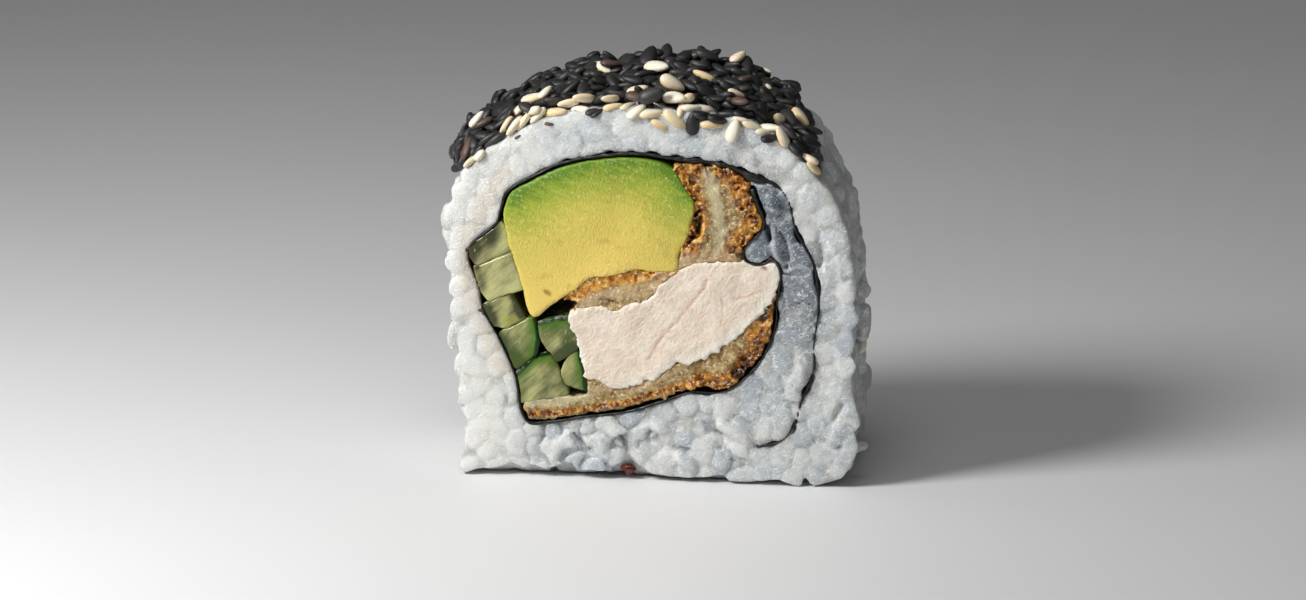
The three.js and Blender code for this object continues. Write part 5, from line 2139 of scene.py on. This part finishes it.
@dataclass
class Studio:
    """A pale floor, soft lights and the camera at the photograph's viewing angle."""

    azimuth: float = 8.0
    elevation: float = 14.0
    distance: float = 0.9
    target: tuple[float, float, float] = (0.0, -0.012, 0.0255)
    lens: float = 183.6

    def _floor(self) -> None:
        """A pale sheet that turns up behind the object, far from it."""
        bend, curl = 0.6, np.linspace(0, math.pi / 2, 13)[1:]
        profile = [(-2.0, 0.0), (1.2, 0.0)]
        profile += [(1.2 + bend * math.sin(a), bend - bend * math.cos(a)) for a in curl]
        profile.append((1.8, 3.0))
        places = [(side * 3.0, y, z) for y, z in profile for side in (-1, 1)]
        faces = [(2 * n, 2 * n + 1, 2 * n + 3, 2 * n + 2) for n in range(len(profile) - 1)]
        mesh = new_mesh("studio_floor", places, [], faces)
        finish = Finish("pale_floor")
        tint = finish.blend(finish.noise(60.0, 2.0), linear(228, 228, 229), linear(234, 234, 234))
        mesh.materials.append(finish.dress(Base_Color=tint, Roughness=0.6))
        floor = linked("studio_floor", mesh)

    def _aimed(
        self, data: bpy.types.ID, middle: Sequence[float], azimuth: float, elevation: float, distance: float
    ) -> Piece:
        """A light or camera that looks at a place.

        Args:
            data: Its light or camera data, which it is named after.
            middle: The place it looks at.
            azimuth: How far round to the right it stands, in degrees.
            elevation: How far up it stands, in degrees.
            distance: How far from the place it stands.

        Returns:
            The object.
        """
        a, e = math.radians(azimuth), math.radians(elevation)
        back = Vector((math.sin(a) * math.cos(e), -math.cos(a) * math.cos(e), math.sin(e)))
        made = linked(data.name, data)
        made.location = Vector(middle) + back * distance
        made.rotation_mode = "QUATERNION"
        made.rotation_quaternion = (-back).to_track_quat("-Z", "Y")
        return made

    def _light(self, name: str, place: tuple[float, float, float], size: float, power: float) -> None:
        """A round light that faces the object, from a place as (azimuth, elevation, distance)."""
        data = bpy.data.lights.new(name, "AREA")
        data.shape = "DISK"
        data.size = size
        data.energy = power
        self._aimed(data, (0, 0, 0.026), *place)

    def build(self) -> None:
        """Builds the floor, the lights, the surroundings' glow and the camera."""
        self._floor()
        self._light("key_light", (-52, 38, 0.3), 0.11, 0.9)
        self._light("top_light", (-5, 72, 0.5), 0.3, 0.4)
        self._light("fill_light", (20, 12, 0.9), 0.4, 0.06)
        world = bpy.data.worlds.new("studio")
        world.use_nodes = True
        glow = world.node_tree.nodes["Background"]
        glow.inputs["Color"].default_value = (1.0, 1.0, 1.0, 1.0)
        glow.inputs["Strength"].default_value = 0.08
        scene = bpy.context.scene
        scene.world = world
        scene.view_settings.view_transform = "Standard"
        data = bpy.data.cameras.new("camera")
        data.lens = self.lens
        data.sensor_width = 36.0
        data.clip_start = 0.05
        scene.camera = self._aimed(data, self.target, self.azimuth, self.elevation, self.distance)


def main() -> None:
    """Builds the dressed slice and its studio."""
    logging.basicConfig(level=logging.INFO, format="%(name)s: %(message)s")
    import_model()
    rice = RiceBody()
    rice.build(RiceFinish().make())
    NoriSheet().build(NoriFinish().make())
    Filling().build()
    SeedLayer(rice).build()
    SauceBead().build()
    Studio().build()
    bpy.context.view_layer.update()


if __name__ == "__main__":
    main()
